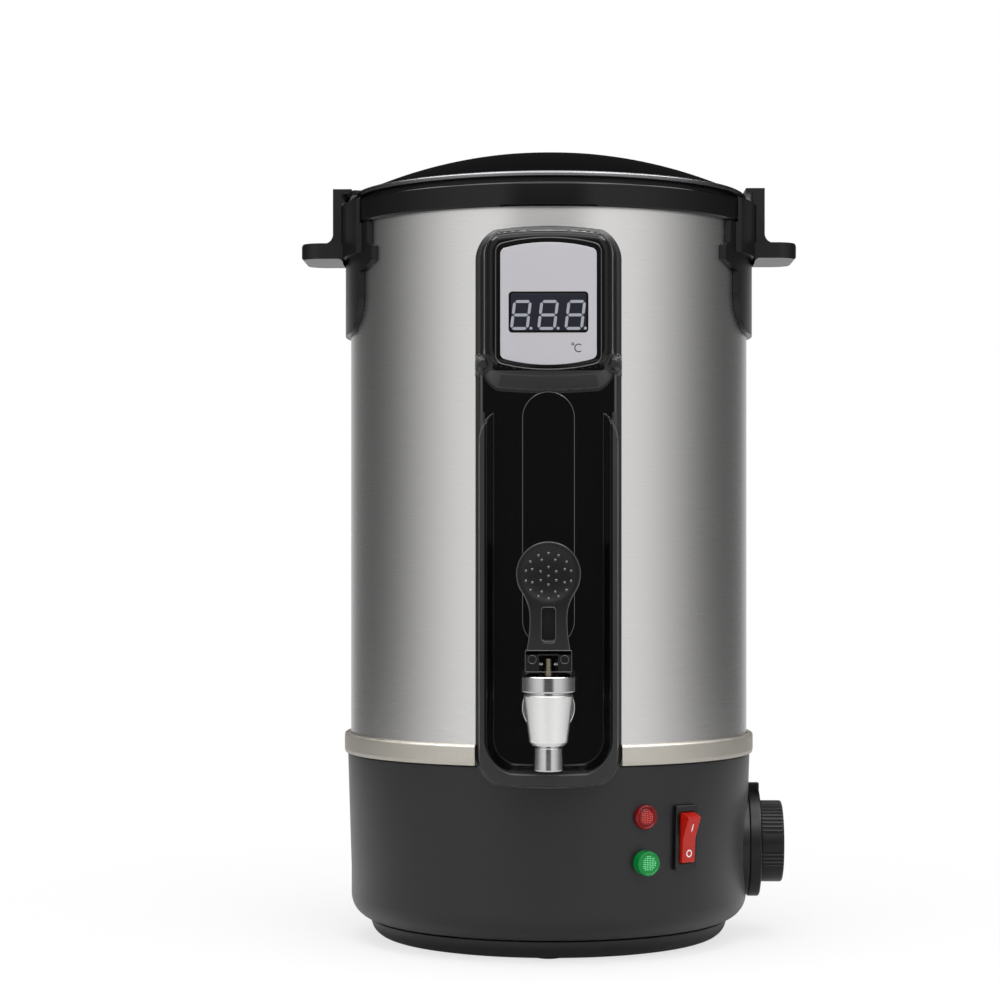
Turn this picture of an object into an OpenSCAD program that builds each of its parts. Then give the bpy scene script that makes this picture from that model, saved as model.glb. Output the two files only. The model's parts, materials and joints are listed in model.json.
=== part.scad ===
// Electric candle wax melter: a tall stainless urn with an inner pot, a heated floor,
// a black moulded base and lid, two side handles, a front panel with a temperature
// display, and a lever tap. Front is -Y, up is +Z, the origin is on the pot's axis at
// floor level. Millimetres.

/* [Shell and pot] */
// Outside diameter of the steel shell
shell_d = 215; // [205:1:225]
// Height of the shell's top edge above the floor
shell_top = 383; // [370:1:396]
// Sheet thickness of the shell
shell_wall = 1; // [0.8:0.1:1.5]
// Step from the shell's outside in to the pot's outside
pot_gap = 8; // [7.5:0.5:12]
// Sheet thickness of the pot
pot_wall = 1; // [0.8:0.1:1.5]
// Height of the pot's floor above the ground
pot_floor = 114; // [113:0.5:118]

/* [Base] */
// How far the base's top edge stands out of the shell
base_proud = 1.6; // [1.3:0.1:2]
// How much narrower the base is at its waist
base_taper = 3.8; // [2:0.2:5]
// Height of the base's top edge above the floor
base_top = 100; // [97:0.5:101]
// Height at which the base's taper ends
base_waist = 38; // [32:1:44]
// Radius that rounds the base in at the bottom
base_round = 13; // [11:0.5:14]
// Wall of the base moulding
base_wall = 2.5; // [2:0.1:3]
// Height of the dark seam over the foot ring
foot_h = 10.8; // [10.6:0.2:12]
// Radius that rounds the foot ring to the floor
foot_round = 9.5; // [8:0.5:9.5]
// Height of the trim ring over the joint of shell and base
trim_h = 11; // [9:0.5:12]
// How far the trim ring stands out of the shell
trim_proud = 3.4; // [3:0.1:4]

/* [Rim and lid] */
// How far the rim band stands out of the shell
rim_proud = 3.5; // [3.2:0.1:4]
// Height of the rim band
rim_h = 12.5; // [11:0.5:14]
// Thickness of the silicone ring under the lid
gasket_t = 3; // [2:0.25:3.5]
// How far the lid's flange stays inside the rim band
lid_margin = 4; // [3:0.5:6]
// Thickness of the lid's flange
lid_flange = 3; // [2.6:0.1:3.4]
// Height of the lid's dome over its flange
dome_h = 22.9; // [20:0.5:26]
// Wall of the lid moulding
lid_wall = 2.5; // [2:0.1:3]
// Diameter of the finger recess in the lid
grip_d = 88; // [80:1:96]
// Width of the bar across the finger recess
bar_w = 20; // [16:1:24]
// Depth of the finger recess at the middle
grip_depth = 19; // [16:0.5:20]
// Width of each locking ear on the lid's flange
ear_w = 16; // [12:1:18]
// Thickness of a locking ear
ear_t = 2.3; // [1.8:0.1:2.5]
// How far a locking ear stands out of the flange
ear_reach = 3.8; // [3:0.1:4]
// Turn between the open and the locked lid, in degrees
lock_turn = 17; // [16:0.5:20]

/* [Handles] */
// How far the grips stand out of the shell
grip_reach = 26.1; // [24:0.5:32]
// Front-to-back width of a grip
grip_w = 45; // [42:1:48]
// Thickness of a grip
grip_t = 8.4; // [7:0.2:10]
// How far a grip's top lies under the shell's top edge
grip_drop = 8.7; // [8:0.2:12]
// Front-to-back width of the upright post
post_w = 40; // [36:1:40]
// Thickness of the upright post
post_t = 4.6; // [4:0.2:5]
// Thickness of the hook at the post's top
hook_t = 2.6; // [2:0.1:3]
// Length of the bracket's tongue on the shell
tongue_l = 58; // [54:1:64]
// Width of the bracket's tongue
tongue_w = 94; // [90:1:98]
// Width of the bracket's shoulder, next to the rim
shoulder_w = 112; // [108:1:116]
// Width of the bracket where it bulges, beside the grip
bump_w = 120.8; // [118:0.4:124]
// Distance of each handle screw from the handle's middle
handle_screw_y = 12; // [10:0.5:16]

/* [Front panel] */
// Width of the panel's flange
panel_w = 74; // [70:1:78]
// Height of the panel's bottom edge above the floor
panel_bottom = 88.8; // [86:0.5:90]
// How far the panel's top edge lies under the shell's top edge
panel_drop = 10.5; // [10:0.5:16]
// How far the display hood stands out of the shell
hood_proud = 14.5; // [13:0.5:16]
// Width of the display hood's face
hood_w = 63; // [60:1:66]
// Height of the display hood's face
hood_h = 69.3; // [66:0.5:72]
// Depth from the side rails' face to the bay's back
bay_depth = 9; // [7:0.5:9.5]
// Width of the bay between the rails
bay_w = 59; // [56:1:61]
// Width of the raised pad behind the tap
pad_w = 26; // [22:1:30]
// Width of the silver label
label_w = 48; // [46:1:50]
// Height of the silver label at its middle
label_h = 61; // [58:1:62]
// Width of the display window
window_w = 39.8; // [36:0.2:42]
// Height of the display window
window_h = 20.6; // [18:0.2:22]

/* [Tap] */
// Height of the tap's inlet above the floor
inlet_z = 130.5; // [129:0.5:133]
// Distance of the tap's axis from the bay's back
tap_reach = 29; // [27:0.5:35]
// Outside diameter of the inlet pipe's thread
shank_d = 16; // [14:0.5:17]
// Diameter of the tap body at its top
tap_d = 24.7; // [23:0.1:26]
// Height of the tap body's cone
cone_h = 23.3; // [22:0.1:25]
// Diameter of the spout pipe
spout_d = 14.3; // [13.5:0.1:15]
// Bore of the spout
spout_bore = 9.2; // [8:0.1:9.6]
// Length of the spout pipe below the tap body
spout_l = 11.7; // [10:0.1:16]
// Diameter of the collar nut on the tap
collar_d = 27.4; // [26.5:0.1:29]
// Height of the collar nut
collar_h = 8.2; // [7:0.1:9]
// Diameter of the valve stem
stem_d = 4.4; // [4:0.1:5]
// Diameter of the lever's pin
pin_d = 2.6; // [2:0.1:2.6]
// Width of the lever's hinge block
block_w = 23; // [21:0.5:25]
// Width of the slot in the hinge block
slot_w = 9; // [7:0.5:10]
// Width of the lever's neck
neck_w = 17.7; // [15:0.1:19]
// Diameter of the lever's thumb paddle
paddle_d = 32; // [28:0.5:34]
// Length from the lever's pin to its tip
lever_l = 60; // [55:0.5:65]
// Stem lift per radian of lever turn
cam_k = 5.5; // [4.5:0.1:6]
// Full pull of the lever, in degrees
lever_pull = 40; // [30:1:42]

/* [Controls] */
// Height of the thermostat's axis above the floor
dial_z = 51; // [50:0.5:54]
// Diameter of the dial plate behind the knob
dial_plate_d = 59.5; // [56:0.5:60]
// Diameter of the thermostat knob
knob_d = 44; // [40:0.5:46]
// How far the knob stands out of the dial plate
knob_h = 12.2; // [11:0.1:14]
// Number of grooves round the knob
knob_ribs = 48; // [36:4:60]
// Direction of the switch, in degrees round from the front
switch_turn = 40; // [38:0.5:44]
// Height of the switch above the floor
switch_z = 62.3; // [58:0.5:66]
// Height of the switch's frame
switch_h = 33; // [31:0.5:34]
// Width of the switch's frame
switch_w = 15; // [14:0.2:16]
// Tilt of the rocker each way, in degrees
rock = 10; // [8:1:12]
// Direction of the lamps, in degrees round from the front
lamp_turn = 26.8; // [24:0.2:27]
// Height of the red lamp above the floor
red_z = 74; // [72:0.5:78]
// Height of the green lamp above the floor
green_z = 50.8; // [48:0.5:54]
// Diameter of a lamp's head
lamp_d = 12.5; // [11.5:0.1:13]
// Height of the cord inlet above the floor
cord_z = 42; // [36:1:50]
// Diameter of the cord that the inlet takes
cord_d = 7.2; // [6:0.1:8]

/* [Heating and wiring] */
// Thickness of the heating plate under the pot
heater_t = 5; // [4:0.5:7]
// How far the heating plate's edge lies inside the pot's
heater_inset = 22; // [18:1:26]
// Diameter of the heating element's tube
element_d = 8; // [7:0.5:9]
// How far the element's loop lies inside the heating plate's edge
element_inset = 15.5; // [12:0.5:20]
// Diameter of the thermal cut-out
cutout_d = 16; // [14:0.5:18]
// Diameter of the temperature probe
probe_d = 5; // [4:0.5:6]
// Length of the temperature probe
probe_l = 40; // [30:1:50]
// Diameter of the thermostat's bulb
bulb_d = 6; // [5:0.5:7]
// Length of the thermostat's bulb
bulb_l = 60; // [50:1:70]
// Width of the thermostat's case
thermostat_w = 34; // [30:1:38]
// Height of the thermostat's case
thermostat_h = 30; // [26:1:34]
// Depth of the thermostat's case
thermostat_t = 20; // [18:1:24]
// Diameter of the thermostat's shaft
shaft_d = 6; // [5:0.5:7]
// Length of the terminal block
terminal_l = 36; // [30:1:42]
// Diameter of the handle, panel and base screws
screw_d = 4; // [3.5:0.1:4.2]

/* [Hidden] */
$fn = 96;

// Clearances
fit = 0.05;        // between a shaft and its hole
seat = 0.2;        // between two curved pieces that sit together
run = 0.3;         // between a moving piece and what it passes
eps = 0.01;        // overlap that joins two shapes of one solid

// Screws
screw_r = screw_d / 2;
head_r = screw_r + 1.8;
head_h = 2;

// Shell, pot and base
shell_r = shell_d / 2;
shell_in = shell_r - shell_wall;
shell_foot = base_top + run;
pot_r = shell_r - pot_gap;
pot_in = pot_r - pot_wall;
base_top_r = shell_r + base_proud;
base_low_r = base_top_r - base_taper / 2;
lean = atan((base_top_r - base_low_r) / (base_top - base_waist));
round_x = base_low_r - base_round;
round_z = foot_h + base_round;
foot_top_r = round_x + 2.3;
foot_low_r = foot_top_r - foot_round;
plate_r = foot_top_r - 3;
plate_t = 1.2;
screw_ring = foot_low_r - 8;
pad_r = 6.5;
pad_h = 2.3;
recess_z = 5.3;
ledge_z = foot_h + plate_t;
ledge_t = 2.5;
trim_r = shell_r + trim_proud;
bezel_half = panel_w / 2 + run;

// Rim and lid, from the shell's top edge up
pot_lip = shell_top + pot_wall;
rim_r = shell_r + rim_proud;
rim_low = shell_top - 1;
rim_top = rim_low + rim_h;
rim_in = pot_in - 1.5;
lid_low = rim_top + gasket_t;
lid_high = lid_low + lid_flange;
lid_r = rim_r - lid_margin;
skirt_r = rim_in - 1.2;
skirt_h = 9;
dome_base = lid_r - 3;
dome_r = (dome_base * dome_base + dome_h * dome_h) / (2 * dome_h);
dome_c = lid_high + dome_h - dome_r;
grip_r = grip_d / 2;
well_floor = lid_high + dome_h - grip_depth;
ear_r = lid_r + ear_reach;
well_corner = 6;

// Handles
grip_top = shell_top - grip_drop;
grip_low = grip_top - grip_t;
grip_r_out = shell_r + grip_reach;
post_in = max(rim_r + 0.5, ear_r + 0.7);
post_out = post_in + post_t;
hook_low = lid_high + 0.6;
post_top = hook_low + hook_t;
bracket_t = 2.9;
bracket_out = post_in + 1.5;

// Front panel
panel_top = shell_top - panel_drop;
panel_root = shell_r - 27.5;
hood_face = shell_r + hood_proud;
rail_face = hood_face - 2;
bay_back = rail_face - bay_depth;
hood_top = panel_top - 3.7;
hood_low = hood_top - hood_h;
rail_top = hood_low - 21;
label_z = (hood_top + hood_low) / 2 - 2.2;
window_z = label_z - 4.3;
hood_wall = 2.5;
panel_screw_l = 16;
panel_screw_x = panel_w / 2 - 4.5;
panel_screw_y = sqrt(pow(shell_in, 2) - pow(panel_screw_x + head_r, 2)) - 1;

// Tap, from the inlet's height
tap_out = bay_back + tap_reach;
shank_r = shank_d / 2;
cone_top = inlet_z + shank_r;
cone_low = cone_top - cone_h;
tap_r = tap_d / 2;
cone_low_r = tap_r - 3;
tap_foot = cone_low - 1.8;
chamber_r = tap_r - 3.9;
seat_z = cone_low + 5.8;
collar_r = collar_d / 2;
collar_low = cone_top + 1;
collar_top = collar_low + collar_h;
stem_r = stem_d / 2;
pin_r = pin_d / 2;
pin_z = collar_top + 5.9;
cam_drop = pin_z - collar_top - run;
stem_top = pin_z + 3.6;
block_top = pin_z + 6.9;
pad_low = block_top + 0.5;
pad_top = hood_low - 10.9;
neck_h = 0.9;
flange_y = bay_back + 1;

// Controls
function wall_r(z) = base_low_r + max(0, z - base_waist) * tan(lean);
dial_x = wall_r(dial_z) + seat;
dial_face = dial_x + 6.2;
knob_in = dial_face + 0.4;
knob_out = knob_in + knob_h;
shaft_r = shaft_d / 2;
set_screw_r = 1.2;
set_screw_x = 3;
socket_x = base_low_r - base_wall - 1;
rocker_reach = switch_h / 2 - 3.6;
rocker_w = switch_w - 6.4;
rocker_axis = 1.3;
well_w = switch_w - 2.4;
well_l = switch_h - 5.4;
gland_r = cord_d / 2 + 2.4;
terminal_z = ledge_z + ledge_t + 0.1;
neck_r = shaft_r + 1.8;
lamp_thread_r = lamp_d / 2 - 1.3;

// Heating, from the pot's floor down
heater_r = pot_r - heater_inset;
heater_low = pot_floor - heater_t;
element_r = element_d / 2;
cutout_r = cutout_d / 2;
probe_r = probe_d / 2;
bulb_r = bulb_d / 2;

// ---------- helpers ----------

// Points along an arc of n steps about [cx, cy], from angle a0 to a1
function arc(cx, cy, r, a0, a1, n) =
    [for (i = [0:n]) let (a = a0 + (a1 - a0) * i / n) [cx + r * cos(a), cy + r * sin(a)]];

// A rounded rectangle, centred, from squares and circles
module round_rect(w, h, r) {
    square([w - 2 * r, h], center = true);
    square([w, h - 2 * r], center = true);
    for (sx = [-1, 1], sy = [-1, 1]) translate([sx * (w / 2 - r), sy * (h / 2 - r)]) circle(r);
}

// A plate drawn as seen from the front, in X and Z, reaching from depth y0 to y1
module facing(y0, y1) {
    translate([0, y1, 0]) rotate([90, 0, 0]) linear_extrude(y1 - y0) children();
}

// Places what is drawn outwards along +Z onto the base's wall
module on_wall(turn, z) {
    rotate([0, 0, turn]) translate([0, -wall_r(z), z]) rotate([90 + lean, 0, 0]) children();
}

// A straight round rod between two points
module rod(a, b, r) {
    d = b - a;
    translate(a)
        rotate([0, acos(d[2] / norm(d)), atan2(d[1], d[0])])
            cylinder(h = norm(d), r = r, $fn = 24);
}

// A pan-head screw standing on its head at z = 0, with its shank going up
module screw(l) {
    translate([0, 0, -head_h / 2]) cylinder(h = l + head_h / 2, r = screw_r, $fn = 24);
    translate([0, 0, -head_h]) cylinder(h = head_h, r1 = head_r - 0.5, r2 = head_r, $fn = 32);
}

// A ring of a given section
module ring(r_in, r_out, z0, z1) {
    translate([0, 0, z0]) difference() {
        cylinder(h = z1 - z0, r = r_out);
        translate([0, 0, -1]) cylinder(h = z1 - z0 + 2, r = r_in);
    }
}

// ---------- shell, pot, rim ----------

module outer_shell() {
    color("silver") difference() {
        ring(shell_in, shell_r, shell_foot, shell_top);
        // Hole for the tap's inlet
        translate([0, -shell_in + 3, inlet_z]) rotate([90, 0, 0]) cylinder(h = 8, r = shank_r + 1);
        // Hole for the display's wires
        translate([0, -shell_in + 3, window_z]) rotate([90, 0, 0]) cylinder(h = 8, r = 6);
        at_handle_screws() cylinder(h = 8, r = screw_r + run, $fn = 24);
        at_panel_screws() cylinder(h = 8, r = screw_r + run, $fn = 24);
    }
}

module inner_pot() {
    color("gainsboro") difference() {
        rotate_extrude() pot_section();
        translate([0, -pot_in + 6, inlet_z]) rotate([90, 0, 0]) cylinder(h = 12, r = shank_r + run);
    }
}

// Half section of the pot: floor, rounded corner, wall and the lip on the shell's edge
module pot_section() {
    corner = 5;
    turn_z = pot_floor + corner;
    polygon(concat([[0, pot_floor]], arc(pot_r - corner, turn_z, corner, -90, 0, 8),
        [[pot_r, shell_top], [shell_r - seat, shell_top], [shell_r - seat, pot_lip], [pot_in, pot_lip]],
        arc(pot_r - corner, turn_z, corner - pot_wall, 0, -90, 8), [[0, pot_floor + pot_wall]]));
}

module top_rim() {
    edge = 1.2;
    color([0.12, 0.12, 0.13]) rotate_extrude() {
        // Outer skirt with a rounded top edge and a bevelled foot
        polygon([[shell_r + seat, rim_low], [rim_r - 0.8, rim_low], [rim_r, rim_low + 0.8],
            [rim_r, rim_top - edge], [rim_r - edge, rim_top], [shell_r + seat, rim_top]]);
        translate([rim_r - edge, rim_top - edge]) circle(edge, $fn = 32);
        // Web over the pot's lip, and the inner collar
        translate([rim_in, pot_lip + 0.1])
            square([shell_r + seat - rim_in + eps, rim_top - pot_lip - 0.1]);
    }
}

module trim_ring() {
    bead = (trim_proud - seat) / 2;
    lip = shell_foot + trim_h;
    color([0.8, 0.79, 0.77]) difference() {
        rotate_extrude() {
            translate([shell_r + seat, shell_foot]) square([trim_r - shell_r - seat, trim_h - bead]);
            translate([trim_r - bead, lip - bead]) circle(bead, $fn = 32);
            translate([shell_r + seat, lip - bead - eps])
                square([trim_r - bead - shell_r - seat, bead + eps]);
            translate([shell_r + seat, lip - 2 * bead]) square([trim_r - shell_r - seat - 0.6, bead]);
        }
        // The panel stands between the ring's ends
        translate([-bezel_half, -shell_r - 20, base_top - 5]) cube([2 * bezel_half, 60, trim_h + 10]);
    }
}

// ---------- base ----------

// Outline of the base, from the waist down to the seam, as seen in half section
module base_profile(inset) {
    polygon([[0, base_top], [base_top_r - inset, base_top], [base_low_r - inset, base_waist],
        [base_low_r - inset, round_z], [round_x, round_z], [round_x, foot_h], [0, foot_h]]);
    translate([round_x, round_z]) intersection() {
        circle(base_round - inset);
        translate([0, -base_round]) square([base_round, base_round]);
    }
}

module base_housing() {
    boss_r = 5;
    cut = 16;
    color([0.16, 0.16, 0.17]) difference() {
        union() {
            rotate_extrude() difference() {
                intersection() {
                    base_profile(0);
                    translate([0, foot_h]) square([base_top_r + 5, base_top - foot_h]);
                }
                // Hollow inside
                difference() {
                    base_profile(base_wall);
                    translate([0, foot_h - 1]) square([base_top_r, ledge_z + ledge_t - foot_h + 1]);
                    translate([0, base_top - 3]) square([base_top_r, 4]);
                }
                // Open at the top inside the spigot, and at the bottom for the plate
                translate([0, base_top - 4]) square([shell_in - 4, 10]);
                translate([0, foot_h - 1]) square([plate_r + seat, plate_t + 1]);
                translate([0, foot_h - 1]) square([plate_r - 12, 10]);
            }
            // Spigot that locates the shell
            ring(shell_in - 4, shell_in - seat, base_top - 3, base_top + 6);
            for (a = [45:90:315]) rotate([0, 0, a]) translate([screw_ring, 0, ledge_z + eps])
                cylinder(h = 12, r = boss_r, $fn = 32);
        }
        for (a = [45:90:315]) rotate([0, 0, a]) translate([screw_ring, 0, foot_h - 2])
            cylinder(h = 12 + plate_t, r = screw_r + fit, $fn = 24);
        // Holes for the thermostat's neck, the switch, the lamps and the cord
        translate([base_low_r - cut / 2, 0, dial_z]) rotate([0, 90, 0])
            cylinder(h = cut, r = neck_r + seat, $fn = 48);
        on_wall(switch_turn, switch_z) translate([-well_w / 2 - seat, -well_l / 2 - seat, -cut / 2])
            cube([well_w + 2 * seat, well_l + 2 * seat, cut]);
        for (z = [red_z, green_z]) on_wall(lamp_turn, z) translate([0, 0, -cut / 2])
            cylinder(h = cut, r = lamp_thread_r + fit, $fn = 48);
        rotate([0, 0, 180]) translate([0, -base_low_r + cut / 2, cord_z]) rotate([90, 0, 0])
            cylinder(h = cut, r = gland_r + run, $fn = 48);
    }
}

module foot_ring() {
    in_r = foot_low_r - 16;
    floor_z = 0.8;
    shoulder_z = floor_z + foot_round;
    color([0.1, 0.1, 0.11]) difference() {
        rotate_extrude() polygon(concat([[in_r, floor_z]],
            arc(foot_low_r, floor_z + foot_round, foot_round, -90, 0, 12),
            [[foot_top_r, shoulder_z], [plate_r, shoulder_z], [plate_r, foot_h], [in_r, foot_h]]));
        for (a = [0:90:270]) rotate([0, 0, a]) translate([screw_ring, 0, floor_z - 1])
            cylinder(h = pad_h - floor_z + 1.1, r = pad_r + fit, $fn = 48);
        for (a = [45:90:315]) rotate([0, 0, a]) translate([screw_ring, 0, floor_z - 1]) {
            cylinder(h = 12, r = screw_r + fit, $fn = 24);
            cylinder(h = recess_z - floor_z + 1, r = head_r + 0.7, $fn = 32);
        }
    }
}

module rubber_feet() {
    color([0.2, 0.2, 0.2]) for (a = [0:90:270]) rotate([0, 0, a]) translate([screw_ring, 0, 0])
        cylinder(h = pad_h, r = pad_r, $fn = 48);
}

module base_plate() {
    color([0.66, 0.67, 0.68]) translate([0, 0, foot_h]) difference() {
        cylinder(h = plate_t, r = plate_r);
        for (a = [45:90:315]) rotate([0, 0, a]) translate([screw_ring, 0, -1])
            cylinder(h = 4, r = screw_r + fit, $fn = 24);
        // Vent slots
        for (a = [0:30:330]) rotate([0, 0, a]) translate([30, -1.5, -1]) cube([26, 3, 4]);
    }
}

module base_screws() {
    color("silver") for (a = [45:90:315]) rotate([0, 0, a]) translate([screw_ring, 0, recess_z])
        screw(foot_h - recess_z + 9);
}

module heating_plate() {
    color([0.72, 0.72, 0.72]) translate([0, 0, heater_low]) cylinder(h = heater_t, r = heater_r);
}

module heating_element() {
    bend = heater_r - element_inset;
    z = heater_low - element_r;
    open = 20;
    leg = 14;
    tag = 8;
    color([0.35, 0.33, 0.32]) {
        rotate([0, 0, 90 + open]) translate([0, 0, z])
            rotate_extrude(angle = 360 - 2 * open) translate([bend, 0]) circle(element_r, $fn = 32);
        for (s = [-1, 1]) rotate([0, 0, 90 + s * open]) translate([bend, 0, z]) {
            sphere(element_r, $fn = 32);
            translate([0, 0, -leg]) cylinder(h = leg, r = element_r, $fn = 32);
            translate([0, 0, -leg - tag]) cylinder(h = tag + 1, r = 0.45 * element_r, $fn = 24);
        }
    }
}

module thermal_cutout() {
    case_h = 9;
    tag = 0.8;
    color([0.85, 0.83, 0.76]) translate([0, 0, heater_low]) {
        translate([0, 0, -case_h]) cylinder(h = case_h, r = cutout_r, $fn = 48);
        translate([-cutout_r - 6, -5, -1.2]) cube([2 * cutout_r + 12, 10, 1.2]);
        for (s = [-1, 1]) translate([s * cutout_r / 2 - tag / 2, -3, -2 * case_h])
            cube([tag, 6, case_h + 0.5]);
    }
}

module temperature_probe() {
    strap_t = 0.8;
    color("silver") translate([24, -5 - probe_l / 2, heater_low - probe_r]) {
        rotate([-90, 0, 0]) cylinder(h = probe_l, r = probe_r, $fn = 32);
        translate([-7, probe_l / 2 - 6, probe_r - strap_t]) cube([14, 8, strap_t]);
    }
}

// ---------- handles ----------

module at_handle_screws() {
    for (s = [-1, 1], t = [0, 180]) rotate([0, 0, t])
        translate([shell_in - 2.6, s * handle_screw_y, (grip_top + grip_low) / 2])
            rotate([0, 90, 0]) children();
}

// Side outline of post, hook and grip, in distance from the axis and height
module handle_side() {
    tip = 2;
    grow = 5;
    translate([post_in, grip_low]) square([post_t, post_top - grip_low]);
    translate([lid_r - 1, hook_low]) square([post_out - lid_r + 1, hook_t]);
    translate([shell_r + seat, grip_low]) square([grip_r_out - tip - shell_r - seat, grip_t]);
    translate([grip_r_out - tip, grip_low + tip]) {
        circle(tip, $fn = 32);
        translate([0, grip_t - 2 * tip]) circle(tip, $fn = 32);
        square([tip, grip_t - 2 * tip]);
    }
    // Fillet over the grip
    translate([post_out, grip_top]) difference() {
        square(grow);
        translate([grow, grow]) circle(grow, $fn = 48);
    }
    // Fillet under the grip
    translate([shell_r + bracket_t - eps, grip_low - 3 + eps]) difference() {
        square(3);
        translate([3, 0]) circle(3, $fn = 48);
    }
}

// Outline of the bracket on the shell, as seen from the side
module bracket_outline() {
    low = shell_top - tongue_l;
    r = 20;
    top = rim_low - run;
    translate([-tongue_w / 2, low + r]) square([tongue_w, top - low - r]);
    translate([-tongue_w / 2 + r, low]) square([tongue_w - 2 * r, top - low]);
    for (s = [-1, 1]) translate([s * (tongue_w / 2 - r), low + r]) circle(r);
    polygon([[-shoulder_w / 2, top], [-shoulder_w / 2, grip_top - 3], [-bump_w / 2, grip_top - 6],
        [-bump_w / 2, grip_low - 5], [-tongue_w / 2 - 4, grip_low - 9], [0, grip_low - 16],
        [tongue_w / 2 + 4, grip_low - 9], [bump_w / 2, grip_low - 5], [bump_w / 2, grip_top - 6],
        [shoulder_w / 2, grip_top - 3], [shoulder_w / 2, top]]);
}

module handle() {
    wing = 100;
    difference() {
        union() {
            // Bracket that hugs the shell
            intersection() {
                ring(shell_r + seat, shell_r + bracket_t, shell_top - tongue_l - 5, rim_low - run);
                rotate([90, 0, 90]) linear_extrude(shell_r + 40) bracket_outline();
            }
            // Upper part of the bracket, round the rim band
            intersection() {
                union() {
                    ring(rim_r + run, bracket_out, grip_low, rim_top);
                    ring(shell_r + seat, bracket_out, grip_low, rim_low - run);
                }
                translate([0, -wing / 2, 0]) cube([2 * shell_r, wing, 2 * shell_top]);
            }
            // Post, hook and grip
            intersection() {
                rotate([90, 0, 0]) translate([0, 0, -grip_w / 2]) linear_extrude(grip_w) handle_side();
                handle_plan();
            }
            // Wall that stops the ear when the lid is locked
            translate([ear_r - 1.2, -post_w / 2, rim_top - eps])
                cube([post_in - ear_r + 1.3, 4, hook_low - rim_top + 0.1]);
        }
        ring(1, shell_r + seat, grip_low - 60, rim_low);
        at_handle_screws() cylinder(h = 20, r = screw_r + fit, $fn = 24);
    }
}

// Outline from above: a broad grip with round corners, and the narrower post over it
module handle_plan() {
    r = 11;
    translate([0, 0, grip_low - 10]) linear_extrude(grip_t + 10 + eps) {
        translate([0, -grip_w / 2]) square([grip_r_out - r, grip_w]);
        translate([0, -grip_w / 2 + r]) square([grip_r_out, grip_w - 2 * r]);
        for (s = [-1, 1]) translate([grip_r_out - r, s * (grip_w / 2 - r)]) circle(r);
    }
    translate([0, -post_w / 2, grip_top]) cube([grip_r_out, post_w, post_top - grip_top + 1]);
}

module left_handle() { color([0.1, 0.1, 0.1]) rotate([0, 0, 180]) handle(); }
module right_handle() { color([0.1, 0.1, 0.1]) handle(); }

module handle_screws() {
    color("silver") at_handle_screws() screw(18);
}

// ---------- lid ----------

module lid_gasket() {
    color([0.25, 0.25, 0.26]) ring(skirt_r + 3, lid_r - 4, rim_top, lid_low);
}

// Half section of the lid: skirt, flange and dome
module lid_section() {
    edge = 1.2;
    translate([skirt_r - lid_wall, lid_low - skirt_h]) square([lid_wall, skirt_h + eps]);
    translate([skirt_r - lid_wall, lid_low]) square([lid_r - edge - skirt_r + lid_wall, lid_flange]);
    translate([lid_r - edge - eps, lid_low]) square([edge + eps, lid_flange - edge]);
    translate([lid_r - edge, lid_high - edge]) circle(edge, $fn = 32);
    intersection() {
        translate([0, dome_c]) difference() {
            circle(dome_r, $fn = 200);
            circle(dome_r - lid_wall, $fn = 200);
        }
        translate([0, lid_high - eps]) square([dome_base, dome_h + 5]);
    }
}

// One finger well, a round recess cut off by the bar
module well() {
    r = well_corner;
    x = sqrt(pow(grip_r - r, 2) - pow(bar_w / 2 + r, 2));
    hull() {
        for (s = [-1, 1]) translate([s * x, bar_w / 2 + r]) circle(r, $fn = 32);
        intersection() {
            circle(grip_r, $fn = 96);
            translate([-x, bar_w / 2 + r]) square([2 * x, grip_r]);
        }
    }
}

module lid() {
    color([0.09, 0.09, 0.1]) difference() {
        union() {
            rotate_extrude() lid_section();
            // Pocket that holds the finger wells
            intersection() {
                translate([0, 0, well_floor - lid_wall]) cylinder(h = 60, r = grip_r + lid_wall);
                translate([0, 0, dome_c]) sphere(dome_r - lid_wall / 2, $fn = 200);
            }
            // Locking ears, left one in front of its hook and right one behind
            for (t = [0, 180]) rotate([0, 0, t + lock_turn]) intersection() {
                ring(lid_r - 4, ear_r, lid_high - ear_t - 0.1, lid_high - 0.1);
                translate([0, -ear_w / 2, lid_high - 10]) cube([200, ear_w, 20]);
            }
        }
        for (t = [0, 180]) rotate([0, 0, t]) translate([0, 0, well_floor]) linear_extrude(60) well();
        // Hollow under the bar
        intersection() {
            translate([-grip_r + 6, -bar_w / 2 + lid_wall, well_floor - 10])
                cube([2 * grip_r - 12, bar_w - 2 * lid_wall, 60]);
            translate([0, 0, dome_c]) sphere(dome_r - lid_wall, $fn = 200);
        }
    }
}

// ---------- front panel ----------

module at_panel_screws() {
    for (s = [-1, 1], z = [panel_bottom + 30, hood_low + 3])
        translate([s * panel_screw_x, -panel_screw_y, z]) rotate([90, 0, 0]) children();
}

// Outline of width w from z0 to z1 with round corners and bowed ends
module bowed(w, z0, z1, r, bow) {
    reach = (w * w / 4 + bow * bow) / (2 * bow);
    intersection() {
        translate([0, (z0 + z1) / 2]) round_rect(w, z1 - z0, r);
        translate([0, z1 - reach]) circle(reach, $fn = 360);
        translate([0, z0 + reach]) circle(reach, $fn = 360);
    }
}

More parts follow.
